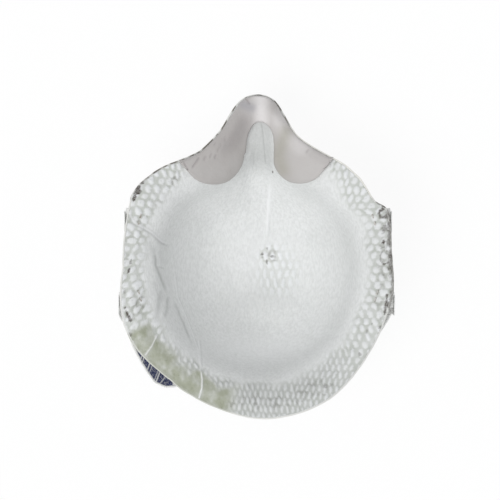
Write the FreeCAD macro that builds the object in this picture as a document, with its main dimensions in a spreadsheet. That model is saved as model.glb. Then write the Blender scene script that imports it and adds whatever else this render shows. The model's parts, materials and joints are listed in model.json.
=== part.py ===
# Cup-shaped disposable dust mask, lying on its moulded front with the open side up.
#
# The origin is the centre of the small flat at the front of the cup. +Y points to the nose bridge, +Z out
# of the open side towards the face, and +X to the right of someone who looks into the cup.
# Every length is in millimetres and every angle in degrees.

import FreeCAD
import Part

import math
import os

import Sketcher

Vector = FreeCAD.Vector

SIZES = [
    # the edge of the cup, seen from the open side
    ("side_half_width", 60.0, "centre line to the straight side of the edge"),
    ("side_top_y", 16.9, "origin to the upper end of the straight side"),
    ("side_top_inset", 0.9, "how far the edge has come in there"),
    ("side_bottom_y", -17.0, "origin to the lower end of the straight side"),
    ("corner_inset", 3.3, "straight side to the rounded upper corner"),
    ("corner_y", 23.9, "origin to the rounded upper corner"),
    ("shoulder_inset", 14.7, "straight side to the middle of the sloping shoulder"),
    ("shoulder_y", 36.6, "origin to the sloping shoulder"),
    ("shoulder_skew", 4.1, "how much higher the left corner and shoulder stand than the right ones"),
    ("cheek_x", 33.1, "centre line to the cheek"),
    ("cheek_y", 44.1, "origin to the cheek"),
    ("nose_root_x", 24.0, "centre line to the hollow beside the nose"),
    ("nose_root_y", 49.8, "origin to the hollow beside the nose"),
    ("nose_flank_x", 14.9, "centre line to the side of the nose"),
    ("nose_flank_y", 58.9, "origin to the side of the nose"),
    ("nose_tip_half", 7.0, "half width of the rounded nose end"),
    ("nose_tip_drop", 2.1, "how far the rounded end falls back at that half width"),
    ("nose_tip_y", 72.3, "origin to the end of the nose"),
    ("chin_radius", 60.3, "radius of the chin's arc"),
    ("chin_centre_y", -12.2, "origin to the centre of that arc"),
    # the depth of the cup
    ("cup_depth", 50.0, "front flat to the side edge"),
    ("nose_drop", 17.0, "how much lower the nose end lies than the side edge"),
    ("nose_drop_start_y", 22.0, "where the edge starts to fall towards the nose"),
    ("chin_drop", 4.0, "how much lower the chin edge lies than the side edge"),
    ("chin_drop_start_y", -20.0, "where the edge starts to fall towards the chin"),
    ("front_radius", 14.0, "half width of the flat at the front"),
    ("belly_radius", 34.0, "half width of the cup where the belly turns up"),
    ("belly_height", 9.5, "height of that turn"),
    ("wall_radius", 43.0, "half width at the middle of the steep wall"),
    ("wall_height", 25.0, "height of the middle of the steep wall"),
    ("flange_width", 10.8, "width of the flared edge, seen from the open side"),
    ("flange_rise", 8.0, "height of the flared edge"),
    # the layers, from the outside in
    ("net_thickness", 0.8, "moulded net"),
    ("cover_thickness", 0.3, "cover web under the net"),
    ("filter_thickness", 0.9, "filter felt"),
    ("lining_thickness", 0.4, "soft lining against the face"),
    ("layer_gap", 0.1, "air between two pieces that lie on each other"),
    ("seal_width", 0.7, "melted edge that holds the layers, outwards"),
    ("seal_lip", 0.2, "how far the melted edge stands over the outer layers"),
    # the nose cushion
    ("cushion_thickness", 3.0, "foam"),
    ("cushion_gap", 0.2, "foam to the lining, which it is glued to"),
    ("cushion_edge", 0.8, "edge of the cup to the foam"),
    ("cushion_right_x", 19.4, "centre line to the middle of the round right lobe"),
    ("cushion_right_y", 45.5, "origin to the middle of that lobe"),
    ("cushion_right_radius", 12.8, "radius of that lobe"),
    ("cushion_left_x", -20.5, "centre line to the middle of the round left lobe"),
    ("cushion_left_y", 46.5, "origin to the middle of that lobe"),
    ("cushion_left_radius", 14.3, "radius of that lobe"),
    ("slot_x", 0.9, "centre line to the middle of the slot for the bridge of the nose"),
    ("slot_half", 6.3, "half width of that slot"),
    ("slot_end_y", 60.7, "origin to the round end of that slot"),
    # the elastic straps
    ("strap_width", 7.0, "elastic band"),
    ("strap_thickness", 0.9, "elastic band"),
    ("strap_swell", 0.1, "how much the turned-down end of a strap is swollen on every side"),
    ("strap_grip", 6.5, "stapled length of a strap end under the flared edge"),
    ("strap_upper_y", 18.0, "origin to the upper strap's staples"),
    ("strap_lower_y", -20.0, "origin to the lower strap's staples"),
    ("strap_lie_gap", 0.4, "stapled end of a strap to the net over it"),
    ("strap_turn_drop", 2.6, "side edge down to the line where the straps turn"),
    ("strap_turn_gap", 0.3, "turned-down strap to what it passes"),
    ("strap_cup_gap", 1.8, "upper strap to the cup above it"),
    ("strap_chin_inset", 16.6, "chin edge to the middle of the lower strap's far end"),
    ("floor_gap", 0.15, "strap to the surface under the mask"),
    # the staples
    ("staple_wire", 0.6, "side of the square wire"),
    ("staple_crown", 5.2, "wire centre to wire centre"),
    ("staple_tip", 1.9, "length of a clinched tip"),
    ("staple_bend", 0.6, "radius of the wire's bends"),
    ("staple_inset", 4.8, "edge of the cup to the staple"),
]

RING_POINTS = 96
MERIDIAN_RINGS = 15
NOSE_FADE = 2.0
STEP = 1e-3

doc = FreeCAD.newDocument("DustMask")
sheet = doc.addObject("Spreadsheet::Sheet", "Sizes")
for row, (alias, value, note) in enumerate(SIZES, start=1):
    sheet.set("A%d" % row, alias)
    sheet.set("B%d" % row, str(value))
    sheet.setAlias("B%d" % row, alias)
    sheet.set("C%d" % row, note)
doc.recompute()


def size(alias):
    return float(getattr(sheet, alias))


def smooth(share):
    share = min(1.0, max(0.0, share))
    return share * share * (3.0 - 2.0 * share)


# ---------------------------------------------------------------- shape of the cup


def rim_curve():
    """Closed curve of the cup's edge seen from the open side. It starts and ends at the chin."""

    def chin(degrees):
        angle = math.radians(degrees)
        reach = Vector(math.cos(angle), math.sin(angle), 0) * size("chin_radius")
        return reach + Vector(0, size("chin_centre_y"), 0)

    def side(sign):
        half = size("side_half_width")
        lift = -sign * size("shoulder_skew") / 2
        points = [
            (half, size("side_bottom_y")),
            (half - size("side_top_inset"), size("side_top_y") + lift),
            (half - size("corner_inset"), size("corner_y") + lift),
            (half - size("shoulder_inset"), size("shoulder_y") + lift),
            (size("cheek_x"), size("cheek_y")),
            (size("nose_root_x"), size("nose_root_y")),
            (size("nose_flank_x"), size("nose_flank_y")),
            (size("nose_tip_half"), size("nose_tip_y") - size("nose_tip_drop")),
        ]
        return [Vector(sign * x, y, 0) for x, y in points]

    points = [chin(-90), chin(-62), chin(-36)]
    points += side(1)
    points += [Vector(0, size("nose_tip_y"), 0)]
    points += reversed(side(-1))
    points += [chin(-144), chin(-118)]
    curve = Part.BSplineCurve()
    curve.interpolate(Points=points, PeriodicFlag=True)
    return curve


def meridian_curve():
    """Section of the cup from its front flat to its edge, as shares of the side's half width and depth."""
    half = size("side_half_width")
    depth = size("cup_depth")
    points = [
        Vector(size("front_radius") / half, 0, 0),
        Vector(size("belly_radius") / half, size("belly_height") / depth, 0),
        Vector(size("wall_radius") / half, size("wall_height") / depth, 0),
        Vector(1 - size("flange_width") / half, 1 - size("flange_rise") / depth, 0),
        Vector(1, 1, 0),
    ]
    level = Vector(1, 0, 0)
    flare = points[-1] - points[-2]
    curve = Part.BSplineCurve()
    curve.interpolate(Points=points, InitialTangent=level, FinalTangent=flare)
    return curve


rim = rim_curve()
meridian = meridian_curve()


def rim_height(y):
    nose_run = size("nose_tip_y") - size("nose_drop_start_y")
    chin_run = size("chin_drop_start_y") - size("chin_centre_y") + size("chin_radius")
    nose = smooth((y - size("nose_drop_start_y")) / nose_run)
    chin = smooth((size("chin_drop_start_y") - y) / chin_run)
    return size("cup_depth") - size("nose_drop") * nose - size("chin_drop") * chin


def cup_point(around, along):
    """Point of the outer surface. around runs 0 to 1 round the edge, along 0 to 1 from flat to edge."""
    first, last = rim.FirstParameter, rim.LastParameter
    edge = rim.value(first + (around % 1.0) * (last - first))
    first, last = meridian.FirstParameter, meridian.LastParameter
    share = meridian.value(first + along * (last - first))
    towards = Vector(edge).normalize()
    centre_y = size("chin_centre_y")
    offside = centre_y * towards.x
    bowl = centre_y * towards.y + math.sqrt(size("chin_radius") ** 2 - offside**2)
    radius = share.x * (bowl + (edge.Length - bowl) * share.x**NOSE_FADE)
    return Vector(towards.x * radius, towards.y * radius, share.y * rim_height(edge.y))


def cup_frame(around, along):
    """Unit vectors at a point of the outer surface: out along the meridian, and in towards the face."""
    low = max(0.0, along - STEP)
    high = min(1.0, along + STEP)
    outwards = (cup_point(around, high) - cup_point(around, low)).normalize()
    sideways = cup_point(around + STEP, along) - cup_point(around - STEP, along)
    inwards = outwards.cross(sideways).normalize()
    if along == 0.0:
        inwards = Vector(0, 0, 1)
    if inwards.z < 0:
        inwards = inwards * -1
    return outwards, inwards


def skin_point(around, along, depth, beyond=0.0):
    """Point at a depth inside the outer surface, and at a distance beyond the cup's edge."""
    outwards, inwards = cup_frame(around, along)
    return cup_point(around, along) + inwards * depth + outwards * beyond


def ring_edge(along, depth, beyond=0.0):
    points = [skin_point(i / RING_POINTS, along, depth, beyond) for i in range(RING_POINTS)]
    curve = Part.BSplineCurve()
    curve.interpolate(Points=points, PeriodicFlag=True)
    return curve.toShape()


def around_at(degrees):
    """Place on the edge that lies in a direction from the origin, measured from +X towards +Y."""
    low, high = 0.0, 1.0
    for _ in range(40):
        middle = (low + high) / 2
        point = cup_point(middle, 1.0)
        if (math.degrees(math.atan2(point.y, point.x)) + 90) % 360 < (degrees + 90) % 360:
            low = middle
        else:
            high = middle
    return (low + high) / 2


def around_at_side(side, y):
    """Place on the edge at a height y, on the right for side 1 and on the left for side -1."""
    low, high = (0.1, 0.4) if side > 0 else (0.9, 0.6)
    for _ in range(40):
        middle = (low + high) / 2
        if cup_point(middle, 1.0).y < y:
            low = middle
        else:
            high = middle
    return (low + high) / 2


def along_at_inset(around, inset):
    """Share of the meridian that lies an inset in from the edge, measured on the surface's plan."""
    edge = cup_point(around, 1.0)
    low, high = 0.5, 1.0
    for _ in range(40):
        middle = (low + high) / 2
        point = cup_point(around, middle)
        if math.hypot(edge.x - point.x, edge.y - point.y) > inset:
            low = middle
        else:
            high = middle
    return (low + high) / 2


def closed_solid(faces):
    shell = Part.Shell(faces)
    shell.sewShape()
    solid = Part.Solid(shell)
    if solid.Volume < 0:
        solid.reverse()
    return solid


def add_feature(name, shape):
    feature = doc.addObject("Part::Feature", name)
    feature.Label = name
    feature.Shape = shape
    feature.Placement = FreeCAD.Placement()
    return feature


# ---------------------------------------------------------------- layers of the cup


def cup_surface(depth):
    steps = [math.pi * k / (MERIDIAN_RINGS - 1) for k in range(MERIDIAN_RINGS)]
    rings = [(1 - math.cos(step)) / 2 for step in steps]
    return Part.makeLoft([Part.Wire([ring_edge(along, depth)]) for along in rings], False)


def loop_edges(surface):
    """The closed edges of a cup surface: round the front flat, and round the cup's edge."""
    loops = [edge for edge in surface.Edges if edge.isClosed()]
    return sorted(loops, key=lambda edge: edge.Length)


def layer_solid(near, far):
    """One moulded layer between two depths under the outer surface."""
    outer = cup_surface(near)
    inner = cup_surface(far)
    outer_flat, outer_edge = loop_edges(outer)
    inner_flat, inner_edge = loop_edges(inner)
    faces = outer.Faces + inner.Faces
    faces += [Part.Face(Part.Wire([outer_flat])), Part.Face(Part.Wire([inner_flat]))]
    faces += Part.makeRuledSurface(outer_edge, inner_edge).Faces
    return closed_solid(faces)


LAYERS = [
    ("net_shell", "net_thickness"),
    ("cover_web", "cover_thickness"),
    ("filter_felt", "filter_thickness"),
    ("inner_lining", "lining_thickness"),
]


def stack_depth(layers=len(LAYERS)):
    """Depth of the inner face of that many layers, counted from the outside."""
    return sum(size(thickness) for _, thickness in LAYERS[:layers]) + size("layer_gap") * (layers - 1)


def edge_seal_solid():
    """Melted bead round the cup's edge. Its eight-sided section closes over the outer layers."""
    near = size("layer_gap")
    middle = near + size("seal_width") / 2
    far = near + size("seal_width")
    top = stack_depth() + size("seal_lip")
    low = -size("seal_lip")
    cut = size("seal_lip")
    section = [
        (near, low + cut),
        (near, top - cut),
        (near + cut, top),
        (middle, top),
        (far, top - 2 * cut),
        (far, low + 2 * cut),
        (middle, low),
        (near + cut, low),
    ]
    edges = [ring_edge(1.0, depth, beyond) for beyond, depth in section]
    faces = []
    for one, other in zip(edges, edges[1:] + edges[:1]):
        faces += Part.makeRuledSurface(one, other).Faces
    return closed_solid(faces)


# ---------------------------------------------------------------- nose cushion

CUSHION_FROM = 40.0
CUSHION_TO = 142.0
CUSHION_COLUMNS = 45
CUSHION_ROWS = 9
CUSHION_LOW = 0.42


def cushion_face(depth):
    """Open patch of the nose end at a depth inside the outer surface."""
    rows = []
    for i in range(CUSHION_COLUMNS):
        around = around_at(CUSHION_FROM + (CUSHION_TO - CUSHION_FROM) * i / (CUSHION_COLUMNS - 1))
        high = along_at_inset(around, size("cushion_edge"))
        steps = [k / (CUSHION_ROWS - 1) for k in range(CUSHION_ROWS)]
        rows.append([skin_point(around, CUSHION_LOW + (high - CUSHION_LOW) * step, depth) for step in steps])
    surface = Part.BSplineSurface()
    surface.interpolate(rows)
    return surface.toShape()


def middle_of(edge):
    return edge.valueAt((edge.FirstParameter + edge.LastParameter) / 2)


def cushion_blank():
    """Foam sheet over the whole nose end, before it is cut to its outline."""
    near = stack_depth() + size("cushion_gap")
    low = cushion_face(near)
    high = cushion_face(near + size("cushion_thickness"))
    faces = low.Faces + high.Faces
    for edge in low.Edges:
        partner = min(high.Edges, key=lambda other: middle_of(other).distanceToPoint(middle_of(edge)))
        faces += Part.makeRuledSurface(edge, partner).Faces
    return closed_solid(faces)


def add_tool(kind, name, **sizes):
    """Upright Part primitive whose sizes are expressions of the sheet."""
    tool = doc.addObject("Part::" + kind, name)
    tool.setExpression("Height", "Sizes.cup_depth + Sizes.cushion_thickness")
    for place, expression in sizes.items():
        tool.setExpression(place.replace("_", "."), expression)
    return tool


def add_nose_cushion():
    """Saddle of foam: two round lobes beside the nose, joined over it, with a slot for its bridge."""
    blank = add_feature("Cushion_blank", cushion_blank())
    parts = []
    for side in ("right", "left"):
        where = "Sizes.cushion_%s_" % side
        places = {"Placement_Base_x": where + "x", "Placement_Base_y": where + "y"}
        parts.append(add_tool("Cylinder", "Lobe_" + side, Radius=where + "radius", **places))
    left_edge = "Sizes.cushion_left_x - Sizes.cushion_left_radius"
    right_edge = "Sizes.cushion_right_x + Sizes.cushion_right_radius"
    places = {"Placement_Base_x": left_edge, "Placement_Base_y": "Sizes.cushion_left_y"}
    length = "%s - (%s)" % (right_edge, left_edge)
    parts.append(add_tool("Box", "Bridge", Length=length, Width="Sizes.nose_tip_y", **places))
    straight = "Sizes.slot_end_y - Sizes.slot_half"
    places = {"Placement_Base_x": "Sizes.slot_x - Sizes.slot_half"}
    slot = add_tool("Box", "Slot", Length="2 * Sizes.slot_half", Width=straight, **places)
    places = {"Placement_Base_x": "Sizes.slot_x", "Placement_Base_y": straight}
    slot_end = add_tool("Cylinder", "Slot_end", Radius="Sizes.slot_half", **places)

    outline = doc.addObject("Part::MultiFuse", "Cushion_outline")
    outline.Shapes = parts
    opening = doc.addObject("Part::MultiFuse", "Cushion_slot")
    opening.Shapes = [slot, slot_end]
    cutter = doc.addObject("Part::Cut", "Cushion_cutter")
    cutter.Base = outline
    cutter.Tool = opening
    cushion = doc.addObject("Part::Common", "nose_cushion")
    cushion.Base = blank
    cushion.Tool = cutter
    return cushion


# ---------------------------------------------------------------- straps

# Middle line of each loop past its turns, from right to left: share of the way out to its turn, and share
# of the way from its turns to its far end.
UPPER_LOOP = [
    (0.958, 0.23),
    (0.868, 0.42),
    (0.727, 0.65),
    (0.48, 0.88),
    (0.20, 0.99),
    (-0.20, 0.99),
    (-0.48, 0.88),
    (-0.727, 0.65),
    (-0.868, 0.42),
    (-0.958, 0.23),
]
LOWER_LOOP = [
    (0.952, 0.25),
    (0.873, 0.43),
    (0.76, 0.66),
    (0.582, 0.86),
    (0.323, 0.96),
    (0.0, 0.985),
    (-0.321, 0.99),
    (-0.578, 0.99),
    (-0.697, 0.955),
    (-0.764, 0.87),
    (-0.819, 0.74),
    (-0.867, 0.58),
    (-0.905, 0.42),
    (-0.947, 0.25),
]


def turn_height():
    return size("cup_depth") - size("strap_turn_drop")


def turn_x(side, y):
    """Inner face of a strap where it is turned down beside the cup's edge."""
    half = size("strap_width") / 2
    edges = [cup_point(around_at_side(side, y + step * half), 1.0).x for step in (-1, 0, 1)]
    widest = max(abs(edge) for edge in edges)
    return side * (widest + size("layer_gap") + size("seal_width") + size("strap_turn_gap"))


def band_solid(points, widths, ends):
    """Flat elastic band along points. widths says which way its width lies at each point, and ends which
    way it leaves its two ends."""
    curve = Part.BSplineCurve()
    curve.interpolate(Points=points, InitialTangent=ends[0], FinalTangent=ends[1])
    half_width = size("strap_width") / 2
    half_thick = size("strap_thickness") / 2
    sections = []
    for point, width in zip(points, widths):
        tangent = Vector(curve.tangent(curve.parameter(point))[0])
        across = (width - tangent * width.dot(tangent)).normalize()
        through = tangent.cross(across)
        corners = [(1, 1), (1, -1), (-1, -1), (-1, 1), (1, 1)]
        outline = [point + across * (a * half_width) + through * (b * half_thick) for a, b in corners]
        sections.append(Part.makePolygon(outline))
    return Part.makeLoft(sections, True)


def strap_end_solid(side, y):
    """Stapled end of a strap. It lies under the flared edge and reaches out to where the strap turns."""
    around = around_at_side(side, y)
    depth = -(size("strap_lie_gap") + size("strap_thickness") / 2)
    points = []
    widths = []
    for step in (1, 0, -1):
        along = along_at_inset(around, size("staple_inset") + size("strap_grip") / 2 * step)
        outwards, inwards = cup_frame(around, along)
        points.append(skin_point(around, along, depth))
        widths.append(inwards.cross(outwards) * side)
    points.append(Vector(turn_x(side, y) - side * size("strap_turn_gap"), y, turn_height()))
    widths.append(Vector(0, 1, 0))
    return band_solid(points, widths, (points[1] - points[0], Vector(side, 0, 0)))


def cup_y_at(height):
    """Where the middle of the cup's chin side stands at a height."""
    low, high = 0.0, 1.0
    for _ in range(40):
        middle = (low + high) / 2
        if cup_point(0.0, middle).z < height:
            low = middle
        else:
            high = middle
    return cup_point(0.0, low).y


def strap_solid(y, far_y, loop):
    """Loop of a strap, turned down beside the cup at y and tucked under it as far as far_y."""
    lowest = size("floor_gap") + size("strap_thickness") / 2
    turn = Vector(0, y, turn_height())
    lie = Vector(0, far_y, lowest) - turn
    reach = lie.Length
    down = Vector(lie).normalize()
    edge_on = Vector(0, down.z, -down.y)
    thickness = size("strap_thickness") + 2 * size("strap_swell")
    turns = {}
    for side in (1, -1):
        turns[side] = Vector(turn_x(side, y) + side * thickness / 2, 0, 0)
    past_turn = down * size("strap_width")
    points = [turn + turns[1], turn + turns[1] + past_turn]
    widths = [edge_on, edge_on]
    for out, share in loop:
        side = math.copysign(1, out)
        points.append(turn + turns[side] * abs(out) + down * (reach * share))
        outwards = Vector(points[-1].x, points[-1].y - size("chin_centre_y"), 0).normalize()
        widths.append(edge_on * (1 - share) + outwards * share)
    points += [turn + turns[-1] + past_turn, turn + turns[-1]]
    widths += [edge_on, edge_on]
    band = band_solid(points, widths, (down, down * -1))
    for side in (1, -1):
        base = turn + Vector(turn_x(side, y), 0, 0)
        radius = size("strap_width") / 2 + size("strap_swell")
        disc = Part.makeCylinder(radius, thickness, base, Vector(side, 0, 0))
        band = band.fuse(disc)
    return band


# ---------------------------------------------------------------- staples


def leg_length():
    """Middle of the crown to the middle of a clinched tip, through the strap end and the layers."""
    terms = ["Sizes.strap_thickness", "Sizes.strap_lie_gap", "Sizes.staple_wire"]
    terms += ["%d * Sizes.layer_gap" % (len(LAYERS) - 1)]
    terms += ["Sizes." + thickness for _, thickness in LAYERS]
    length = size("strap_thickness") + size("strap_lie_gap") + stack_depth() + size("staple_wire")
    return " + ".join(terms), length


def constrain(sketch, name, constraint, expression):
    """Dimension of a sketch that follows the sheet."""
    sketch.renameConstraint(sketch.addConstraint(constraint), name)
    sketch.setExpression("Constraints." + name, expression)


def staple_path(body, plane):
    """Middle line of the wire: tip, bend, leg, bend, crown, bend, leg, bend, tip."""
    half = size("staple_crown") / 2
    bend = size("staple_bend")
    high = leg_length()[1]
    tip = half - size("staple_tip")
    path = body.newObject("Sketcher::SketchObject", body.Name + "_path")
    path.AttachmentSupport = [(plane, "")]
    path.MapMode = "FlatFace"

    def line(start, end):
        path.addGeometry(Part.LineSegment(Vector(*start, 0), Vector(*end, 0)), False)

    def arc(x, y, start, end):
        circle = Part.Circle(Vector(x, y, 0), Vector(0, 0, 1), bend)
        path.addGeometry(Part.ArcOfCircle(circle, math.radians(start), math.radians(end)), False)

    line((-tip, high), (-half + bend, high))
    arc(-half + bend, high - bend, 90, 180)
    line((-half, high - bend), (-half, bend))
    arc(-half + bend, bend, 180, 270)
    line((-half + bend, 0), (half - bend, 0))
    arc(half - bend, bend, 270, 360)
    line((half, bend), (half, high - bend))
    arc(half - bend, high - bend, 0, 90)
    line((half - bend, high), (tip, high))
    joints = [(i, 2, i + 1, 1) for i in range(8)]
    for joint in joints:
        path.addConstraint(Sketcher.Constraint("Tangent", *joint))
    for upright in (2, 6):
        path.addConstraint(Sketcher.Constraint("Vertical", upright))
    for level in (0, 8):
        path.addConstraint(Sketcher.Constraint("Horizontal", level))
    for bent in (3, 5, 7):
        path.addConstraint(Sketcher.Constraint("Equal", 1, bent))
    path.addConstraint(Sketcher.Constraint("Equal", 2, 6))
    path.addConstraint(Sketcher.Constraint("Equal", 0, 8))
    path.addConstraint(Sketcher.Constraint("Symmetric", 4, 1, 4, 2, -2))
    path.addConstraint(Sketcher.Constraint("PointOnObject", 4, 1, -1))
    constrain(path, "bend", Sketcher.Constraint("Radius", 1, bend), "Sizes.staple_bend")
    crown = Sketcher.Constraint("DistanceX", 2, 1, 6, 1, 2 * half)
    constrain(path, "crown", crown, "Sizes.staple_crown")
    leg = Sketcher.Constraint("DistanceY", 4, 1, 0, 1, high)
    constrain(path, "leg", leg, leg_length()[0])
    tips = Sketcher.Constraint("DistanceX", 0, 1, 8, 2, 2 * tip)
    constrain(path, "tips", tips, "Sizes.staple_crown - 2 * Sizes.staple_tip")
    return path


def staple_section(body, plane):
    """Square section of the wire, at the end of the first tip."""
    section = body.newObject("Sketcher::SketchObject", body.Name + "_section")
    section.AttachmentSupport = [(plane, "")]
    section.MapMode = "FlatFace"
    section.setExpression("AttachmentOffset.Base.z", "Sizes.staple_tip - Sizes.staple_crown / 2")
    half = size("staple_wire") / 2
    high = leg_length()[1]
    corners = [(-half, high - half), (half, high - half), (half, high + half), (-half, high + half)]
    for start, end in zip(corners, corners[1:] + corners[:1]):
        section.addGeometry(Part.LineSegment(Vector(*start, 0), Vector(*end, 0)), False)
    for edge in range(4):
        section.addConstraint(Sketcher.Constraint("Coincident", edge, 2, (edge + 1) % 4, 1))
    section.addConstraint(Sketcher.Constraint("Horizontal", 2))
    for upright in (1, 3):
        section.addConstraint(Sketcher.Constraint("Vertical", upright))
    section.addConstraint(Sketcher.Constraint("Equal", 0, 1))
    section.addConstraint(Sketcher.Constraint("Symmetric", 0, 1, 0, 2, -2))
    wire = Sketcher.Constraint("DistanceX", 0, 1, 0, 2, size("staple_wire"))
    constrain(section, "wire", wire, "Sizes.staple_wire")
    low = Sketcher.Constraint("DistanceY", -1, 1, 0, 1, high - half)
    constrain(section, "low", low, leg_length()[0] + " - Sizes.staple_wire / 2")
    return section


def add_staple(name, side, y):
    """Wire staple: crown over the strap end, legs through the layers, tips clinched on the lining."""
    body = doc.addObject("PartDesign::Body", name)
    planes = {feature.Role: feature for feature in body.Origin.OriginFeatures}
    path = staple_path(body, planes["XZ_Plane"])
    section = staple_section(body, planes["YZ_Plane"])
    pipe = body.newObject("PartDesign::AdditivePipe", name + "_wire")
    pipe.Profile = section
    pipe.Spine = path

    around = around_at_side(side, y)
    along = along_at_inset(around, size("staple_inset"))
    outwards, inwards = cup_frame(around, along)
    crown_depth = -(size("strap_lie_gap") + size("strap_thickness") + size("staple_wire") / 2)
    turn = FreeCAD.Rotation(inwards.cross(outwards), outwards, inwards, "ZXY")
    body.Placement = FreeCAD.Placement(skin_point(around, along, crown_depth), turn)
    return body


# ---------------------------------------------------------------- the mask

sub_parts = []
for number, (layer, thickness) in enumerate(LAYERS, start=1):
    far = stack_depth(number)
    sub_parts.append(add_feature(layer, layer_solid(far - size(thickness), far)))
sub_parts.append(add_feature("edge_seal", edge_seal_solid()))
sub_parts.append(add_nose_cushion())

under_cup = size("floor_gap") + size("strap_thickness") + size("strap_cup_gap")
upper_far_y = cup_y_at(under_cup) - size("strap_width") / 2
lower_far_y = size("chin_centre_y") - size("chin_radius") + size("strap_chin_inset")
STRAPS = [
    ("upper", size("strap_upper_y"), upper_far_y, UPPER_LOOP),
    ("lower", size("strap_lower_y"), lower_far_y, LOWER_LOOP),
]
for strap, strap_y, far_y, strap_loop in STRAPS:
    sub_parts.append(add_feature(strap + "_strap", strap_solid(strap_y, far_y, strap_loop)))
    for side_name, side in (("right", 1), ("left", -1)):
        where = strap + "_" + side_name
        sub_parts.append(add_feature("strap_end_" + where, strap_end_solid(side, strap_y)))
        sub_parts.append(add_staple("staple_" + where, side, strap_y))

doc.recompute()

for item in doc.Objects:
    if "Invalid" in item.State or "Error" in item.State:
        raise RuntimeError("%s did not build: %s" % (item.Name, item.State))

os.makedirs("parts", exist_ok=True)
for item in sub_parts:
    shape = item.Shape
    if shape.isNull() or not shape.isValid():
        raise RuntimeError("%s has no valid shape" % item.Label)
    shape.exportStep("parts/%s.step" % item.Label)
    print("%-26s %d solid, %9.2f mm3" % (item.Label, len(shape.Solids), shape.Volume))
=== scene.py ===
import json
import math

import bpy
import numpy as np
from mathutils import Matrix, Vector
from mathutils.bvhtree import BVHTree


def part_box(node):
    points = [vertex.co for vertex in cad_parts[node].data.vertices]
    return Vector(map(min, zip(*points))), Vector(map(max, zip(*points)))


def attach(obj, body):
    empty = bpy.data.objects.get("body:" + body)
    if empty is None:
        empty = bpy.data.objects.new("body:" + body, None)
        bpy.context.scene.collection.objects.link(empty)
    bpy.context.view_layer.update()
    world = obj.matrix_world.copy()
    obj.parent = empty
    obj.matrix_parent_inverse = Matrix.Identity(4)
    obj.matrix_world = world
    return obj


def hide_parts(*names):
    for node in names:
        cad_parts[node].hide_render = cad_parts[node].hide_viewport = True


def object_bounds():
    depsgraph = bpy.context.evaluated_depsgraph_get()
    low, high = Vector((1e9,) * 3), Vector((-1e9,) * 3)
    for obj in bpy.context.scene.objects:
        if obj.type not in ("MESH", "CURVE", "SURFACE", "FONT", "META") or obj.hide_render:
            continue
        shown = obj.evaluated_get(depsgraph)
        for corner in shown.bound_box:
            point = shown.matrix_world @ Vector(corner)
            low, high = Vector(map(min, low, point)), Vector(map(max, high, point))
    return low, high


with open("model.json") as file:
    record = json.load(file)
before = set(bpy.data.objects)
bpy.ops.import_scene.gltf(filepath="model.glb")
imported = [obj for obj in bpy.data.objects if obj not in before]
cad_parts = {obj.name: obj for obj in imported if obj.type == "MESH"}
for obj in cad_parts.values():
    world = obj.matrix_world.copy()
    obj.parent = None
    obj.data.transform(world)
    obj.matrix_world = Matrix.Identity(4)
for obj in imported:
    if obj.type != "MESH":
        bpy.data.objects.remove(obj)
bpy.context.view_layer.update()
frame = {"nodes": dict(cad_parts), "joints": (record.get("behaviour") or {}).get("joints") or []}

# Used dust mask of moulded layers, lying on its front with the open side up.
# +Y is the nose, +Z comes out of the open side, and every length is in metres.

mm = 0.001
scene = bpy.context.scene
turnAt = {joint["child"]: Vector(joint["pos_m"]) for joint in frame["joints"]}


# camera, lamps and table

cameraSet = {
    "over": (-3.6 * mm, 2.5 * mm),
    "height": 1.65,
    "widthSeen": 225 * mm,  # at the level of the cup's edge
    "sensor": 36.0,
}
lightSet = {
    "keyFrom": (-0.40, -0.38, 1.0),  # off the lower left of the cup
    "keyStrength": 1.24,
    "keySpread": 34,
    "fillStrength": 0.67,
    "fillColour": (0.98, 0.99, 1.0),
    "tableGlow": 0.90,
    "tableColour": (0.97, 0.97, 0.97),
    "tableReach": 2.5,
}


def setCamera():
    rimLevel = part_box("inner_lining")[1].z
    lens = bpy.data.cameras.new("lookDown")
    lens.sensor_width = cameraSet["sensor"]
    lens.lens = cameraSet["sensor"] * (cameraSet["height"] - rimLevel) / cameraSet["widthSeen"]
    lens.clip_start = 10 * mm
    camera = bpy.data.objects.new("lookDown", lens)
    camera.location = (*cameraSet["over"], cameraSet["height"])
    scene.collection.objects.link(camera)
    scene.camera = camera
    scene.view_settings.view_transform = "Standard"


def seenDirectly(tree):
    # 1 for what the lens or a shiny surface sees, 0 for light that falls on the mask
    path = tree.nodes.new("ShaderNodeLightPath")
    either = tree.nodes.new("ShaderNodeMath")
    either.operation = "MAXIMUM"
    tree.links.new(path.outputs["Is Camera Ray"], either.inputs[0])
    tree.links.new(path.outputs["Is Glossy Ray"], either.inputs[1])
    return either.outputs[0]


def setLights():
    key = bpy.data.lights.new("windowLight", "SUN")
    key.energy = lightSet["keyStrength"]
    key.angle = math.radians(lightSet["keySpread"])
    lamp = bpy.data.objects.new("windowLight", key)
    lamp.rotation_euler = Vector(lightSet["keyFrom"]).to_track_quat("Z", "Y").to_euler()
    scene.collection.objects.link(lamp)

    scene.world = bpy.data.worlds.new("whiteRoom")
    scene.world.use_nodes = True
    tree = scene.world.node_tree
    tree.nodes.clear()
    fill = tree.nodes.new("ShaderNodeBackground")
    fill.inputs["Color"].default_value = (*lightSet["fillColour"], 1)
    fill.inputs["Strength"].default_value = lightSet["fillStrength"]
    white = tree.nodes.new("ShaderNodeBackground")
    white.inputs["Color"].default_value = (1, 1, 1, 1)
    mix = tree.nodes.new("ShaderNodeMixShader")
    out = tree.nodes.new("ShaderNodeOutputWorld")
    tree.links.new(seenDirectly(tree), mix.inputs[0])
    tree.links.new(fill.outputs[0], mix.inputs[1])
    tree.links.new(white.outputs[0], mix.inputs[2])
    tree.links.new(mix.outputs[0], out.inputs[0])


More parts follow.
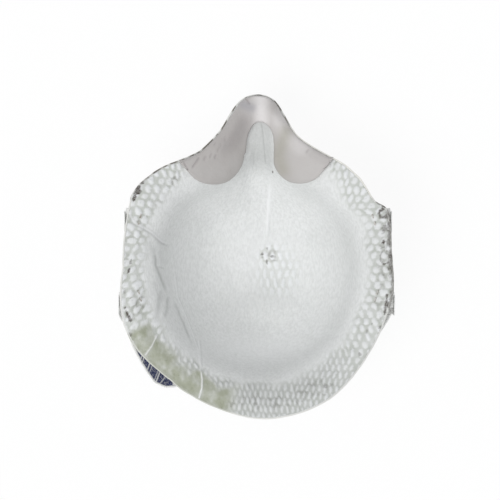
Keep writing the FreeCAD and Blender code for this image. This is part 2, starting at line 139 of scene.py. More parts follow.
def layTable():
    level = min(0.0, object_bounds()[0].z) - 0.05 * mm
    reach = lightSet["tableReach"]
    mesh = bpy.data.meshes.new("table")
    corners = [(-reach, -reach, level), (reach, -reach, level), (reach, reach, level), (-reach, reach, level)]
    mesh.from_pydata(corners, [], [(0, 1, 2, 3)])
    table = bpy.data.objects.new("table", mesh)
    scene.collection.objects.link(table)
    paper = bpy.data.materials.new("whitePaper")
    paper.use_nodes = True
    tree = paper.node_tree
    tree.nodes.clear()
    matt = tree.nodes.new("ShaderNodeBsdfDiffuse")
    matt.inputs["Color"].default_value = (*lightSet["tableColour"], 1)
    glow = tree.nodes.new("ShaderNodeEmission")
    share = tree.nodes.new("ShaderNodeMath")
    share.operation = "MULTIPLY"
    share.inputs[1].default_value = lightSet["tableGlow"]
    mix = tree.nodes.new("ShaderNodeMixShader")
    out = tree.nodes.new("ShaderNodeOutputMaterial")
    tree.links.new(seenDirectly(tree), share.inputs[0])
    tree.links.new(share.outputs[0], mix.inputs[0])
    tree.links.new(matt.outputs[0], mix.inputs[1])
    tree.links.new(glow.outputs[0], mix.inputs[2])
    tree.links.new(mix.outputs[0], out.inputs[0])
    mesh.materials.append(paper)


setCamera()
setLights()
print("camera and lamps set")


def ease(value):
    value = np.clip(value, 0, 1)
    return value * value * (3 - 2 * value)


# the two skins of the moulded cup, read from the frame
# a place on a skin is a direction (radians) and a share (0 in the middle, 1 at the cup's edge)

skinSet = {
    "directions": 288,
    "steps": 60,
    "raysFrom": 200 * mm,  # over or under the cup
    "raySpacing": 0.4 * mm,
    "edgeBetween": (30 * mm, 90 * mm),  # the edge is looked for between these, by halving the gap
    "halvings": 18,
    "planPart": 0.4,  # part of the way seen from above in the flat measure; the rest is along the surface
    "smoothing": 3,
    "nudge": 0.004,  # share of the way out over which a slope is taken
}

# how far the worn edge is bent outwards (+) or inwards (-), in mm, by direction in degrees
bentEdge = {
    "from": 0.72,  # share of the way out where the bend starts
    "rise": 0.6,  # part of the slope that an edge bent outwards keeps
    "marks": [
        (-180, -0.5), (-175, -0.3), (-169, 1.1), (-163, 2.4), (-158, 3.2), (-153, 3.6), (-147, 3.2),
        (-142, 2.3), (-138, 1.2), (-131, -0.4), (-125, -1.2), (-120, -0.9), (-115, -1.1), (-105, -0.6),
        (-99, 0.1), (-93, 1.0), (-87, 1.4), (-71, 1.6), (-63, 1.5), (-56, 0.6), (-49, -0.4), (-42, -0.8),
        (-35, -0.6), (-24, 0.1), (-15, 0.9), (-10, 0.4), (-5, -0.3), (2, -0.8), (7, -0.4), (13, 0.3),
        (18, 1.0), (20.5, 0.9), (24.5, -1.9), (28, -1.7), (32, -0.6), (37, 0.8), (46, 1.2), (54, 0.4),
        (65, 0.0), (72, -0.5), (80, 0.1), (84, 0.9), (91, 1.0), (98, 1.2), (102, 1.3), (106, 0.7),
        (111, 0.2), (119, -0.7), (126, -0.1), (134, 0.2), (144, 0.0), (149, 0.6), (155, 0.8), (158, 0.0),
        (162, -0.4), (170, -0.7),
    ],
}


def byDirection(marks, angle):
    # value between marks of (degrees, value), all the way round
    marks = marks + [(marks[0][0] + 360, marks[0][1])]
    degrees = (np.degrees(angle) + 180) % 360 - 180
    return np.interp(degrees, [at for at, _ in marks], [value for _, value in marks])


def smoothRound(values):
    for _ in range(skinSet["smoothing"]):
        values = (np.roll(values, 1, axis=0) + 2 * values + np.roll(values, -1, axis=0)) / 4
    return values


def readSkin(node, fromAbove):
    # one face of a cup's layer from the frame, as a grid of points, and how long the way out is
    mesh = frame["nodes"][node].data
    surface = BVHTree.FromPolygons([v.co for v in mesh.vertices], [tuple(p.vertices) for p in mesh.polygons])
    sign = 1 if fromAbove else -1
    start, ray = sign * skinSet["raysFrom"], Vector((0, 0, -sign))
    count, steps = skinSet["directions"], skinSet["steps"]
    points = np.zeros((count, steps + 1, 3))
    reach = np.zeros(count)

    def height(angle, radius):
        hit = surface.ray_cast(Vector((math.cos(angle) * radius, math.sin(angle) * radius, start)), ray)[0]
        return None if hit is None else hit.z

    for i in range(count):
        angle = 2 * math.pi * i / count
        low, high = skinSet["edgeBetween"]
        for _ in range(skinSet["halvings"]):
            middle = (low + high) / 2
            low, high = (low, middle) if height(angle, middle) is None else (middle, high)
        radii = np.linspace(0, low, int(low / skinSet["raySpacing"]) + 2)
        levels = np.array([height(angle, r) for r in radii])
        along = np.concatenate([[0], np.cumsum(np.hypot(np.diff(radii), np.diff(levels)))])
        flat = skinSet["planPart"] * radii + (1 - skinSet["planPart"]) * along
        reach[i] = flat[-1]
        wanted = np.linspace(0, flat[-1], steps + 1)
        radius = np.interp(wanted, flat, radii)
        points[i, :, 0] = math.cos(angle) * radius
        points[i, :, 1] = math.sin(angle) * radius
        points[i, :, 2] = np.interp(wanted, flat, levels)
    points[:, 1:-1] = (points[:, :-2] + 2 * points[:, 1:-1] + points[:, 2:]) / 4
    points, reach = smoothRound(points), smoothRound(reach)
    bend = ease((np.linspace(0, 1, steps + 1) - bentEdge["from"]) / (1 - bentEdge["from"]))
    for i in range(count):
        # the surface itself stays where it is, and its edge goes on or stops short
        angle = 2 * math.pi * i / count
        radius = np.hypot(points[i, :, 0], points[i, :, 1])
        level = points[i, :, 2]
        slope = (level[-1] - level[-4]) / (radius[-1] - radius[-4])
        moved = radius + byDirection(bentEdge["marks"], angle) * mm * bend
        beyond = np.maximum(moved - radius[-1], 0)
        points[i, :, 0], points[i, :, 1] = math.cos(angle) * moved, math.sin(angle) * moved
        points[i, :, 2] = np.interp(moved, radius, level) + bentEdge["rise"] * slope * beyond
    return {"points": points, "reach": reach}


def directionOf(angle):
    # number of the direction at or before an angle, and the part of a step beyond it
    turn = (angle % (2 * math.pi)) / (2 * math.pi) * skinSet["directions"]
    first = np.floor(turn).astype(int)
    return first, turn - first


def levelAt(skin, x, y):
    # height of a skin over places on the plan, and how far in from the cup's edge they lie
    count = skinSet["directions"]
    first, part = directionOf(np.arctan2(y, x))
    first = first % count
    away = np.hypot(x, y)
    radii = np.hypot(skin["points"][..., 0], skin["points"][..., 1])
    level = np.zeros(x.shape)
    for direction in np.unique(first):
        here = first == direction
        after = (direction + 1) % count
        low = np.interp(away[here], radii[direction], skin["points"][direction, :, 2])
        high = np.interp(away[here], radii[after], skin["points"][after, :, 2])
        level[here] = low * (1 - part[here]) + high * part[here]
    edge = radii[first, -1] * (1 - part) + radii[(first + 1) % count, -1] * part
    return level, edge - away


def cubicWeights(t):
    # shares of four points in a row in a smooth curve between the middle two
    return (
        0.5 * (-t + 2 * t**2 - t**3),
        0.5 * (2 - 5 * t**2 + 3 * t**3),
        0.5 * (t + 4 * t**2 - 3 * t**3),
        0.5 * (t**3 - t**2),
    )


def flatReach(skin, angle):
    # how long the way out is in the flat measure
    count = skinSet["directions"]
    first, part = directionOf(angle)
    return skin["reach"][first % count] * (1 - part) + skin["reach"][(first + 1) % count] * part


def skinPoint(skin, angle, share):
    count, steps = skinSet["directions"], skinSet["steps"]
    points = skin["points"]
    ring = np.clip(share, 0, 1) * steps
    firstTurn, turnPart = directionOf(angle)
    firstRing = np.minimum(np.floor(ring).astype(int), steps - 1)
    turnWeights = cubicWeights(turnPart)
    ringWeights = cubicWeights(ring - firstRing)
    found = 0
    for a, turnWeight in enumerate(turnWeights):
        direction = (firstTurn + a - 1) % count
        for b, ringWeight in enumerate(ringWeights):
            step = firstRing + b - 1
            kept = np.clip(step, 0, steps)
            value = points[direction, kept]
            mirrored = points[direction, np.clip(2 * kept - step, 0, steps)]
            value = np.where((step == kept)[..., None], value, 2 * value - mirrored)
            found = found + (turnWeight * ringWeight)[..., None] * value
    return found


def skinNormal(skin, angle, share):
    # points up, into the cup
    nudge = skinSet["nudge"]
    turn = nudge / np.maximum(share, 0.05)
    along = skinPoint(skin, angle, share + nudge) - skinPoint(skin, angle, share - nudge)
    past = (share + nudge > 1)[..., None]
    along = np.where(past, skinPoint(skin, angle, share) - skinPoint(skin, angle, share - nudge), along)
    sideways = skinPoint(skin, angle + turn, share) - skinPoint(skin, angle - turn, share)
    across = np.cross(along, sideways)
    across = across / np.maximum(np.linalg.norm(across, axis=-1, keepdims=True), 1e-12)
    return np.where((share < 0.02)[..., None], np.array([0.0, 0.0, 1.0]), across)


faceSkin = readSkin("inner_lining", True)
netSkin = readSkin("net_shell", False)

# the layers are pinched together at the edge, where the lining's skin runs down towards the net's
pinch = {"from": 0.93, "part": 0.52}
pinched = ease((np.linspace(0, 1, skinSet["steps"] + 1) - pinch["from"]) / (1 - pinch["from"]))
faceSkin["points"] += (netSkin["points"] - faceSkin["points"]) * (pinch["part"] * pinched)[None, :, None]
print("skins read, reach %.1f mm" % (faceSkin["reach"].max() / mm))


# shared shape tools


def softNoise(x, y, cell, seed):
    # smooth random field from -1 to 1
    size = 64
    values = np.random.RandomState(seed).uniform(-1, 1, (size, size))
    u, v = x / cell, y / cell
    i, j = np.floor(u).astype(int), np.floor(v).astype(int)
    a, b = ease(u - i), ease(v - j)
    low = values[i % size, j % size] * (1 - a) + values[(i + 1) % size, j % size] * a
    high = values[i % size, (j + 1) % size] * (1 - a) + values[(i + 1) % size, (j + 1) % size] * a
    return low * (1 - b) + high * b


def nearLine(x, y, line):
    # distance to a line of points given in mm, place along it from 0 to 1, and the side that it lies on
    points = np.array(line, float) * mm
    lengths = np.linalg.norm(np.diff(points, axis=0), axis=1)
    total = lengths.sum()
    best = np.full(x.shape, 1.0)
    place = np.zeros(x.shape)
    side = np.ones(x.shape)
    gone = 0.0
    for start, end, length in zip(points, points[1:], lengths):
        dx, dy = (end - start) / length
        run = np.clip((x - start[0]) * dx + (y - start[1]) * dy, 0, length)
        away = np.hypot(x - start[0] - run * dx, y - start[1] - run * dy)
        nearer = away < best
        best = np.where(nearer, away, best)
        place = np.where(nearer, (gone + run) / total, place)
        side = np.where(nearer, np.sign((y - start[1]) * dx - (x - start[0]) * dy), side)
        gone += length
    return best, place, side


def addMesh(name, points, faces):
    mesh = bpy.data.meshes.new(name)
    mesh.from_pydata(points.tolist(), [], faces)
    mesh.validate()
    piece = bpy.data.objects.new(name, mesh)
    scene.collection.objects.link(piece)
    mesh.shade_smooth()
    return piece


def paintPoints(piece, name, values):
    layer = piece.data.attributes.new(name, "FLOAT", "POINT")
    layer.data.foreach_set("value", np.asarray(values, np.float32).ravel())


def layeredNoise(x, y, layers):
    # sum of soft noises, each given as cell size, seed and strength
    return sum(strength * softNoise(x, y, cell, seed) for cell, seed, strength in layers)


def bell(away, width):
    # 1 on a line, fading over a width in mm
    return np.exp(-((away / (width * mm)) ** 2))


def taper(place, start, end):
    # fades a line's mark out over these shares of its length at its two ends
    return ease(place / start) * ease((1 - place) / end)


def ovalAway(x, y, oval):
    # distance from the middle of an oval mark (x, y, half length, half width in mm, lean), 1 on its outline
    atX, atY, long, wide, lean = oval
    turn = math.radians(lean)
    dx, dy = x - atX * mm, y - atY * mm
    along = (dx * math.cos(turn) + dy * math.sin(turn)) / (long * mm)
    across = (dy * math.cos(turn) - dx * math.sin(turn)) / (wide * mm)
    return np.hypot(along, across)


def softSpot(x, y, spot):
    # broad mark that fades from its middle: x, y, half width, half height in mm, strength
    atX, atY, wide, tall, strength = spot
    away = ((x - atX * mm) / (wide * mm)) ** 2 + ((y - atY * mm) / (tall * mm)) ** 2
    return strength * np.exp(-away)


# the moulded net's cells in the flat measure: upright hexagons in rows that lean half a cell

cellSet = {
    "pitch": 3.36 * mm,
    "row": 4.15 * mm,
    "wideFrom": 52 * mm,  # the cells are stretched sideways on the flared edge, left and right of this
    "squeeze": 0.74,
    "chinFrom": -56 * mm,  # and they are closer and slimmer below this
    "chinOver": 24 * mm,
    "closer": 1.28,
    "slimmer": 0.22,
    # lots of random numbers that the cells share, and how the lot changes along and across the rows
    "lots": 4096,
    "lotSteps": (73, 179),
}


def slimAt(y):
    return 1 + cellSet["slimmer"] * ease((cellSet["chinFrom"] - y) / cellSet["chinOver"])


def toLattice(x, y):
    far = np.abs(x) - cellSet["wideFrom"]
    across = np.where(far > 0, np.sign(x) * (cellSet["wideFrom"] + far * cellSet["squeeze"]), x)
    return across * slimAt(y), y + (cellSet["closer"] - 1) * np.minimum(y - cellSet["chinFrom"], 0)


def fromLattice(x, y):
    y = y - (1 - 1 / cellSet["closer"]) * np.minimum(y - cellSet["chinFrom"], 0)
    across = x / slimAt(y)
    far = np.abs(across) - cellSet["wideFrom"]
    return np.where(far > 0, np.sign(across) * (cellSet["wideFrom"] + far / cellSet["squeeze"]), across), y


def nearestCell(x, y):
    # offset from the nearest cell's middle in parts of a cell, and the number of the cell's lot
    pitch, row = cellSet["pitch"], cellSet["row"]
    alongStep, acrossStep = cellSet["lotSteps"]
    squash = math.sqrt(3) / 2 * pitch / row
    x, y = toLattice(x, y)
    best = np.full(x.shape, np.inf)
    offX, offY, lot = np.zeros(x.shape), np.zeros(x.shape), np.zeros(x.shape, int)
    for upper in (0, 1):
        j = np.floor(y / row).astype(int) + upper
        lean = 0.5 * (j % 2)
        for right in (0, 1):
            i = np.floor(x / pitch - lean).astype(int) + right
            dx = x - (i + lean) * pitch
            dy = y - j * row
            away = dx**2 + (dy * squash) ** 2
            nearer = away < best
            best = np.where(nearer, away, best)
            offX = np.where(nearer, dx / pitch, offX)
            offY = np.where(nearer, dy / row, offY)
            lot = np.where(nearer, (i * alongStep + j * acrossStep) % cellSet["lots"], lot)
    return offX, offY, lot


cellLuck = np.random.RandomState(7).uniform(0, 1, (3, cellSet["lots"]))


# dirt and wear, as places on the plan of the mask in mm

dirtSet = {
    # x, y, half length, half width, lean in degrees, strength
    "spots": [
        (-54.3, 29.6, 2.3, 1.7, 62, 1.3),
        (-52.4, 32.8, 1.1, 0.8, 50, 1.0),
        (-55.8, 25.6, 1.9, 0.7, 74, 1.1),
        (-49.8, 35.3, 0.6, 0.4, 30, 0.6),
        (-47.4, 37.6, 0.7, 0.5, 70, 0.8),
        (-58.2, -6.6, 1.4, 0.55, 62, 1.1),
        (-57.4, -3.0, 1.2, 0.4, 80, 0.6),
        (-58.3, -27.6, 3.6, 0.75, -65, 1.2),
        (-59.6, -23.6, 0.7, 0.5, 0, 0.9),
        (-60.2, -17.0, 1.3, 0.35, 85, 0.5),
        (-57.6, -35.6, 1.0, 0.7, -50, 0.6),
        (54.4, 23.6, 1.8, 0.5, -32, 0.8),
        (56.9, 22.1, 1.3, 0.8, -35, 1.1),
        (56.8, 12.2, 2.4, 1.7, 60, 0.65),
        (56.9, 6.0, 1.0, 0.8, 60, 1.1),
        (56.3, 3.6, 1.3, 0.35, 20, 0.6),
        (55.9, 1.6, 0.6, 0.5, 0, 1.0),
        (59.7, -0.5, 1.5, 0.7, 85, 1.1),
        (59.9, -5.5, 1.4, 0.7, 85, 0.9),
        (56.7, -3.8, 0.75, 0.65, 0, 1.2),
        (56.9, -8.8, 0.7, 0.6, 0, 0.6),
        (58.1, -18.6, 1.4, 0.6, 80, 1.0),
        (57.7, -22.2, 3.0, 0.85, 84, 0.9),
        (57.3, -25.4, 1.5, 0.7, 80, 1.2),
        (55.2, -20.8, 0.6, 0.5, 0, 0.8),
        (54.9, -32.5, 0.9, 0.5, 60, 0.6),
        (51.4, -30.8, 0.7, 0.6, 60, 0.6),
        (49.1, -34.3, 1.0, 0.5, 80, 0.5),
        (46.0, -44.4, 1.2, 0.9, 80, 0.55),
        (30.6, -59.0, 1.2, 0.8, 70, 0.45),
        (6.75, 38.3, 0.6, 0.55, 0, 1.0),
        (2.0, 0.6, 0.7, 0.6, 0, 0.75),
        (4.5, 3.1, 0.6, 0.7, 0, 0.50),
        (6.6, -0.6, 0.8, 0.6, 20, 0.70),
        (4.2, -2.9, 0.5, 0.9, 0, 0.70),
        (7.7, -0.6, 0.5, 0.6, 0, 0.35),
    ],
    # rusty line, bent stain and grimy stretches along the very edge: half width, strength, points
    "rust": (0.35, 0.60, [(55.9, 1.5), (55.2, 0.0), (55.1, -2.0), (56.5, -3.8)]),
    "hook": (
        0.80, 0.90,
        [(56.6, 21.2), (55.2, 20.2), (54.4, 18.9), (55.3, 17.2), (57.9, 16.9), (58.9, 18.6)],
    ),
    "rims": [
        (2.3, 0.76, [(58.9, 20.5), (59.3, 13), (59.6, 7), (60.0, -2), (60.8, -9), (61.2, -17), (59.9, -23)]),
        (0.5, 0.45, [(-58.8, 21), (-57.4, 27), (-54.0, 33), (-46.0, 38)]),
    ],
    "ragged": [(0.7 * mm, 21, 0.35), (1.6 * mm, 22, 0.35)],
    # greenish film of mould: half width and points
    "film": (8.0, [(-58, -33), (-54, -40), (-47.5, -46.5), (-40, -54), (-30, -60), (-20, -64.5), (-8, -68)]),
    "filmRagged": [(4.5 * mm, 31, 0.35)],
    # grimy grooves between the cells: x, y, half length, half width, lean in degrees, strength
    "grimy": [
        (-37.9, 35.1, 5.0, 1.6, 55, 0.55),
        (-54.5, -22.5, 6.5, 4.0, 80, 0.40),
        (-57.8, 6.0, 9.0, 2.0, 86, 0.24),
        (-46.0, 22.0, 4.0, 1.5, 60, 0.18),
        (56.0, -5.0, 22.0, 2.2, 87, 0.32),
        (33.2, 44.4, 3.0, 1.4, -40, 0.30),
        (24.0, -61.5, 12.0, 3.4, 24, 0.34),
        (2.0, -66.0, 15.0, 3.4, 2, 0.38),
        (4.9, 0.4, 3.4, 3.6, 0, 0.40),
    ],
    "grimyRagged": [(2.4 * mm, 24, 0.5), (0.9 * mm, 25, 0.4)],
    # cells that show in the middle of the bowl, strongly and faintly: x, y, reach
    "patch": (4.9, 0.4, 4.4),
    "patchRagged": (0.3, 2.0 * mm),
    "faintPatch": (9.0, -7.0, 9.0),
    "faintShape": (0.95, 0.8),  # below 1, it reaches further that way
    "faintness": 0.70,
}


def dirtAt(x, y):
    dirt = np.zeros(x.shape)
    ragged = layeredNoise(x, y, dirtSet["ragged"])
    for *oval, strength in dirtSet["spots"]:
        inside = 1.15 - ovalAway(x, y, oval) + ragged
        dirt = np.maximum(dirt, np.minimum(strength * ease(inside * 2.2), 1))
    half, strength, line = dirtSet["rust"]
    away, _, _ = nearLine(x, y, line)
    dirt = np.maximum(dirt, strength * ease(1.3 - away / (half * mm)))
    half, strength, line = dirtSet["hook"]
    away, _, _ = nearLine(x, y, line)
    dirt = np.maximum(dirt, strength * ease((1.2 - away / (half * mm) + ragged) * 1.6))
    for half, strength, line in dirtSet["rims"]:
        away, _, _ = nearLine(x, y, line)
        dirt = np.maximum(dirt, strength * ease((1 - away / (half * mm) + ragged * 1.2) * 1.3))
    return dirt


def grimyAt(x, y):
    grimy = np.zeros(x.shape)
    ragged = layeredNoise(x, y, dirtSet["grimyRagged"])
    for *oval, strength in dirtSet["grimy"]:
        grimy = np.maximum(grimy, strength * ease((1.3 - ovalAway(x, y, oval) + ragged) * 1.3))
    return grimy


def filmAt(x, y):
    half, line = dirtSet["film"]
    away, place, _ = nearLine(x, y, line)
    cover = 1.15 - away / (half * mm) + layeredNoise(x, y, dirtSet["filmRagged"])
    return ease(cover * 2.2) * taper(place, 0.06, 0.12)


def patchesAt(x, y):
    # how strongly the cells show in the middle of the bowl, where the lining was pressed down
    atX, atY, reach = dirtSet["patch"]
    away = np.hypot(x - atX * mm, y - atY * mm) / (reach * mm)
    ragged, over = dirtSet["patchRagged"]
    patch = ease((1.4 - away + ragged * softNoise(x, y, over, 10)) * 1.6)
    atX, atY, reach = dirtSet["faintPatch"]
    shapeX, shapeY = dirtSet["faintShape"]
    away = np.hypot((x - atX * mm) * shapeX, (y - atY * mm) * shapeY) / (reach * mm)
    return patch, dirtSet["faintness"] * ease(1.5 - away)


# lining pressed into the net along the cup's edge

liningSet = {
    "turns": 880,
    "rings": 150,
    "backRings": 14,
    "thickness": 0.3 * mm,
    "pillow": 0.50 * mm,  # height of a pressed cell
    "valley": 0.14 * mm,  # depth of the grooves between the cells
    "dimple": 0.18 * mm,  # depth of the pinprick in some cells
    "dimpled": 0.20,  # share of the cells that have one
    "fade": 6.0 * mm,  # width over which the cells end in the bowl
    "ragged": 1.8 * mm,  # how uneven that end is
    # half width and half height of a cell's top in parts of a cell, and what the sides and the chin add
    "top": (0.43, 0.48),
    "atSides": (-0.06, 0.0),
    "atChin": (-0.12, 0.05),
    # how far the cells wander in parts of a cell, and the length of a bend in their rows
    "wander": (0.14, 0.12),
    "wanderOver": 6 * mm,
    # how far they are crumpled, left of one line and below another, how softly it starts, size of a crumple
    "crumple": 0.9 * mm,
    "crumpledFrom": (-42 * mm, 20 * mm),
    "crumpledOver": (14 * mm, 16 * mm),
    "crumpleSize": (3.1 * mm, 2.7 * mm),
    # how unequal the cells are: least width and height, what luck adds to them, and how far they lean
    "least": (0.84, 0.88),
    "luckAdds": (0.3, 0.22),
    "lean": 0.5,
    "frayed": (0.45, 0.9 * mm),  # how uneven a cell's outline is, and over what length
    "roundTop": 0.7,
    "grooveFrom": 0.50,
    "grooveOver": 0.9,
    "dimpleAt": (-0.06, 0.04),
    "dimpleHalf": 0.10,
    # least height and whiteness of a cell, and what luck adds
    "pillowLuck": (0.45, 0.9),
    "whiteLuck": (0.35, 0.9),
    # part of the cells' height, grooves and whiteness that the film of mould takes away
    "filmCovers": (0.75, 0.5, 0.6),
    # height, groove and whiteness of the cells in the middle of the bowl, in the strong and the weak patch
    "strongPatch": (0.75, 0.80, 0.5),
    "weakPatch": (1.0, 0.60, 0.9),
    # how far the pressed cells reach in from the edge, in the flat measure, by direction in degrees
    "pressed": [
        (-180, 9), (-160, 11), (-140, 14), (-115, 14), (-90, 14), (-60, 13), (-30, 12), (0, 11), (25, 11),
        (40, 10), (48, 6), (56, -6), (90, -9), (124, -6), (131, 4), (138, 10), (150, 12), (165, 10),
    ],
    # how white the tops of the cells are, by direction, as their own white and a painted highlight
    "whiteness": [
        (-180, 0.5), (-150, 0.45), (-110, 0.3), (-80, 0.45), (-45, 0.55), (0, 0.4), (45, 0.55), (135, 0.6),
    ],
    # how grey the pressed edge is, by direction
    "grey": [
        (-180, 0.10), (-150, 0.10), (-125, 0.42), (-90, 0.60), (-60, 0.50), (-35, 0.24), (-10, 0.28),
        (10, 0.30), (25, 0.20), (45, 0.14), (135, 0.12), (165, 0.14),
    ],
    # broad faint painted shades, and pale places of painted light: x, y, half width, half height, strength
    "clouds": [
        (5.0, -20.0, 15.0, 7.0, 0.22), (-10.0, -20.0, 12.0, 9.0, 0.10), (40.0, 2.0, 10.0, 16.0, 0.10),
        (-17.0, -9.0, 5.0, 6.0, 0.08), (26.0, 8.0, 9.0, 5.0, 0.07), (-8.0, -34.0, 9.0, 9.0, 0.08),
        (4.0, -58.0, 26.0, 4.5, 0.16), (-49.0, 2.0, 5.0, 7.0, 0.17), (-45.5, -16.0, 4.0, 12.0, 0.12),
        (22.0, 30.0, 9.0, 5.0, 0.06),
    ],
    "glows": [(0.0, -43.0, 26.0, 6.5, 0.40), (4.0, 3.0, 14.0, 12.0, 0.35), (-34.0, -8.0, 7.0, 16.0, 0.15)],
    # unevenness of the soft sheet, as cell size, seed and height: in the bowl only, and everywhere
    "swell": [(6 * mm, 5, 0.07 * mm)],
    "ripples": [(2.2 * mm, 14, 0.05 * mm), (0.8 * mm, 15, 0.022 * mm)],
    # fine streaks that run down the wall below a line, and how softly they start
    "streakHigh": 0.10 * mm,
    "streaksBelow": -8 * mm,
    "streaksOver": 30 * mm,
    # streaks that fan out from a place over the nose, above a line and between two lines
    "fanHigh": 0.07 * mm,
    "fanFrom": (2.5 * mm, 62 * mm),
    "fanAbove": 2 * mm,
    "fanWithin": 24 * mm,
    "fanOver": (14 * mm, 20 * mm),
    "crease": [(5.4, 34), (5.3, 28), (4.7, 18), (3.9, 5.6)],
    "creaseHigh": 0.5 * mm,
    "creaseHalf": 0.8,  # half width in mm
    "creaseLight": 0.75,
    # shaded channel under the nose: middle, half width, where it starts, strength
    "channel": (1.4 * mm, 6.6 * mm, 33 * mm, 0.40),
    # marks as lines: points, half width, strength
    "channelDepth": 0.35,  # of a line in the channel, in parts of its half width
    "channelLines": [
        ([(1.8, 59.6), (2.4, 54), (3.2, 45), (3.6, 39.4)], 0.42, 0.75),
        ([(-0.4, 59.0), (-0.9, 52), (-1.5, 45), (-1.8, 36)], 0.35, 0.30),
        ([(4.2, 57.5), (4.6, 50), (5.0, 42)], 0.3, 0.22),
    ],
    "ridge": [
        (-58.4, 20.5), (-57.4, 17.5), (-55.7, 14.9), (-52, 12.9), (-48, 10.4), (-44.1, 6.5), (-42, 5.6),
        (-39.4, 5.2),
    ],
    "ridgeHigh": 0.50 * mm,
    "ridgeHalf": 0.6,  # half width in mm
    "bulge": 0.9 * mm,  # how far the lining stands into the bowl below the ridge
    "bulgeOver": 8 * mm,
    # strength and width of the soft shade below it, and strength, place and half width of its shadow line
    "ridgeShade": (0.26, 5 * mm),
    "ridgeShadow": (0.60, 1.0 * mm, 0.6),
    "ridgeLight": (0.9, 0.5),  # strength and half width in mm of the painted highlight on its crest
    # height in parts of the half width, and how dark the shadows beside them are
    "threadHigh": 0.7,
    "threadShadow": 0.30,
    "threads": [
        ([(-38.8, -3.5), (-37.8, -12), (-36.8, -19.5), (-31.5, -32), (-27.4, -43), (-25.9, -52)], 0.24, 0.55),
        ([(-25.9, -52), (-25.3, -56), (-25.4, -60), (-27.0, -65.5)], 0.33, 1.0),
        ([(-45.4, -35.2), (-47.8, -40.6), (-51.0, -45.2)], 0.30, 0.8),
        ([(-27.4, -38), (-26.2, -47), (-25.9, -52)], 0.35, 0.6),
    ],
    # depth in parts of the half width, how much shade is painted in them, and height, place and half width of
    # their swells
    "foldDepth": 0.5,
    "foldShade": 0.75,
    "foldSwell": (0.3 * mm, 1.6 * mm, 0.9),
    "wrinkles": [
        ([(-46.7, 2.5), (-46.4, -4.3), (-44.1, -10.1), (-41.1, -17.8)], 0.55, 0.75),
        ([(-41.1, -17.8), (-41.2, -24), (-42.2, -29)], 0.7, 0.55),
        ([(-46.3, -4.6), (-42.5, -6.2)], 0.40, 0.35),
        ([(-38.6, -20), (-35, -29), (-31.5, -37), (-29.6, -41)], 0.45, 0.62),
        ([(-44.2, -15), (-44.6, -24), (-46, -31)], 1.1, 0.38),
        ([(-54.5, 11.6), (-50.5, 9.0), (-47.5, 4.4), (-46.4, -1)], 2.0, 0.26),
    ],
}


def pressedCells(angle, flatX, flatY):
    # each place's cell: how far up its top, how deep in its groove, its pinprick and its random numbers
    wanderX, wanderY = liningSet["wander"]
    leftOf, below = liningSet["crumpledFrom"]
    overX, overY = liningSet["crumpledOver"]
    crumpled = ease((leftOf - flatX) / overX) * ease((below - flatY) / overY) * liningSet["crumple"]
    bend, (crumpleX, crumpleY) = liningSet["wanderOver"], liningSet["crumpleSize"]
    wobbleX = softNoise(flatX, flatY, bend, 3) * wanderX * cellSet["pitch"]
    wobbleY = softNoise(flatX, flatY, bend, 9) * wanderY * cellSet["row"]
    wobbleX += softNoise(flatX, flatY, crumpleX, 51) * crumpled
    wobbleY += softNoise(flatX, flatY, crumpleY, 52) * crumpled
    offX, offY, lot = nearestCell(flatX + wobbleX, flatY + wobbleY)

    luck = cellLuck[:, lot]
    sides = ease(np.abs(np.cos(angle)) * 1.6 - 0.3)
    chin = ease(-np.sin(angle) * 1.4 - 0.3)
    parts = zip(liningSet["top"], liningSet["atSides"], liningSet["atChin"])
    halfX, halfY = [top + sides * atSides + chin * atChin for top, atSides, atChin in parts]
    offX = offX + liningSet["lean"] * (luck[2] - 0.5) * offY
    (leastX, leastY), (addX, addY) = liningSet["least"], liningSet["luckAdds"]
    across, upward = offX / (halfX * (leastX + addX * luck[0])), offY / (halfY * (leastY + addY * luck[1]))
    around = across**2 + upward**2
    frayed, over = liningSet["frayed"]
    around = around + frayed * softNoise(flatX, flatY, over, 11) * np.sqrt(around)
    dome = np.clip(1 - around, 0, 1) ** liningSet["roundTop"]
    groove = ease((around - liningSet["grooveFrom"]) / liningSet["grooveOver"])
    atX, atY = liningSet["dimpleAt"]
    dimple = ease(1.4 - np.hypot(offX - atX, offY - atY) / liningSet["dimpleHalf"])
    dimple = (luck[2] < liningSet["dimpled"]) * dimple
    return dome, groove, dimple, luck


def softSurface(angle, share, flat, x, y, bowl):
    # swells, ripples and fine streaks of the sheet; bowl is 1 where no cells are pressed into it
    flatX, flatY = flat * np.cos(angle), flat * np.sin(angle)
    rise = layeredNoise(flatX, flatY, liningSet["swell"]) * bowl
    rise += layeredNoise(flatX, flatY, liningSet["ripples"])
    lower = ease((liningSet["streaksBelow"] - y) / liningSet["streaksOver"]) * ease(share * 3) * bowl
    rise += liningSet["streakHigh"] * softNoise(angle * 22 * mm, flat * 0.12, 1.0 * mm, 6) * lower
    fanX, fanY = liningSet["fanFrom"]
    fan = np.arctan2(x - fanX, fanY - y)
    overX, overY = liningSet["fanOver"]
    upper = ease((y - liningSet["fanAbove"]) / overY) * ease((liningSet["fanWithin"] - np.abs(x)) / overX)
    return rise + liningSet["fanHigh"] * softNoise(fan * 40 * mm, y * 0.05, 0.9 * mm, 16) * upper


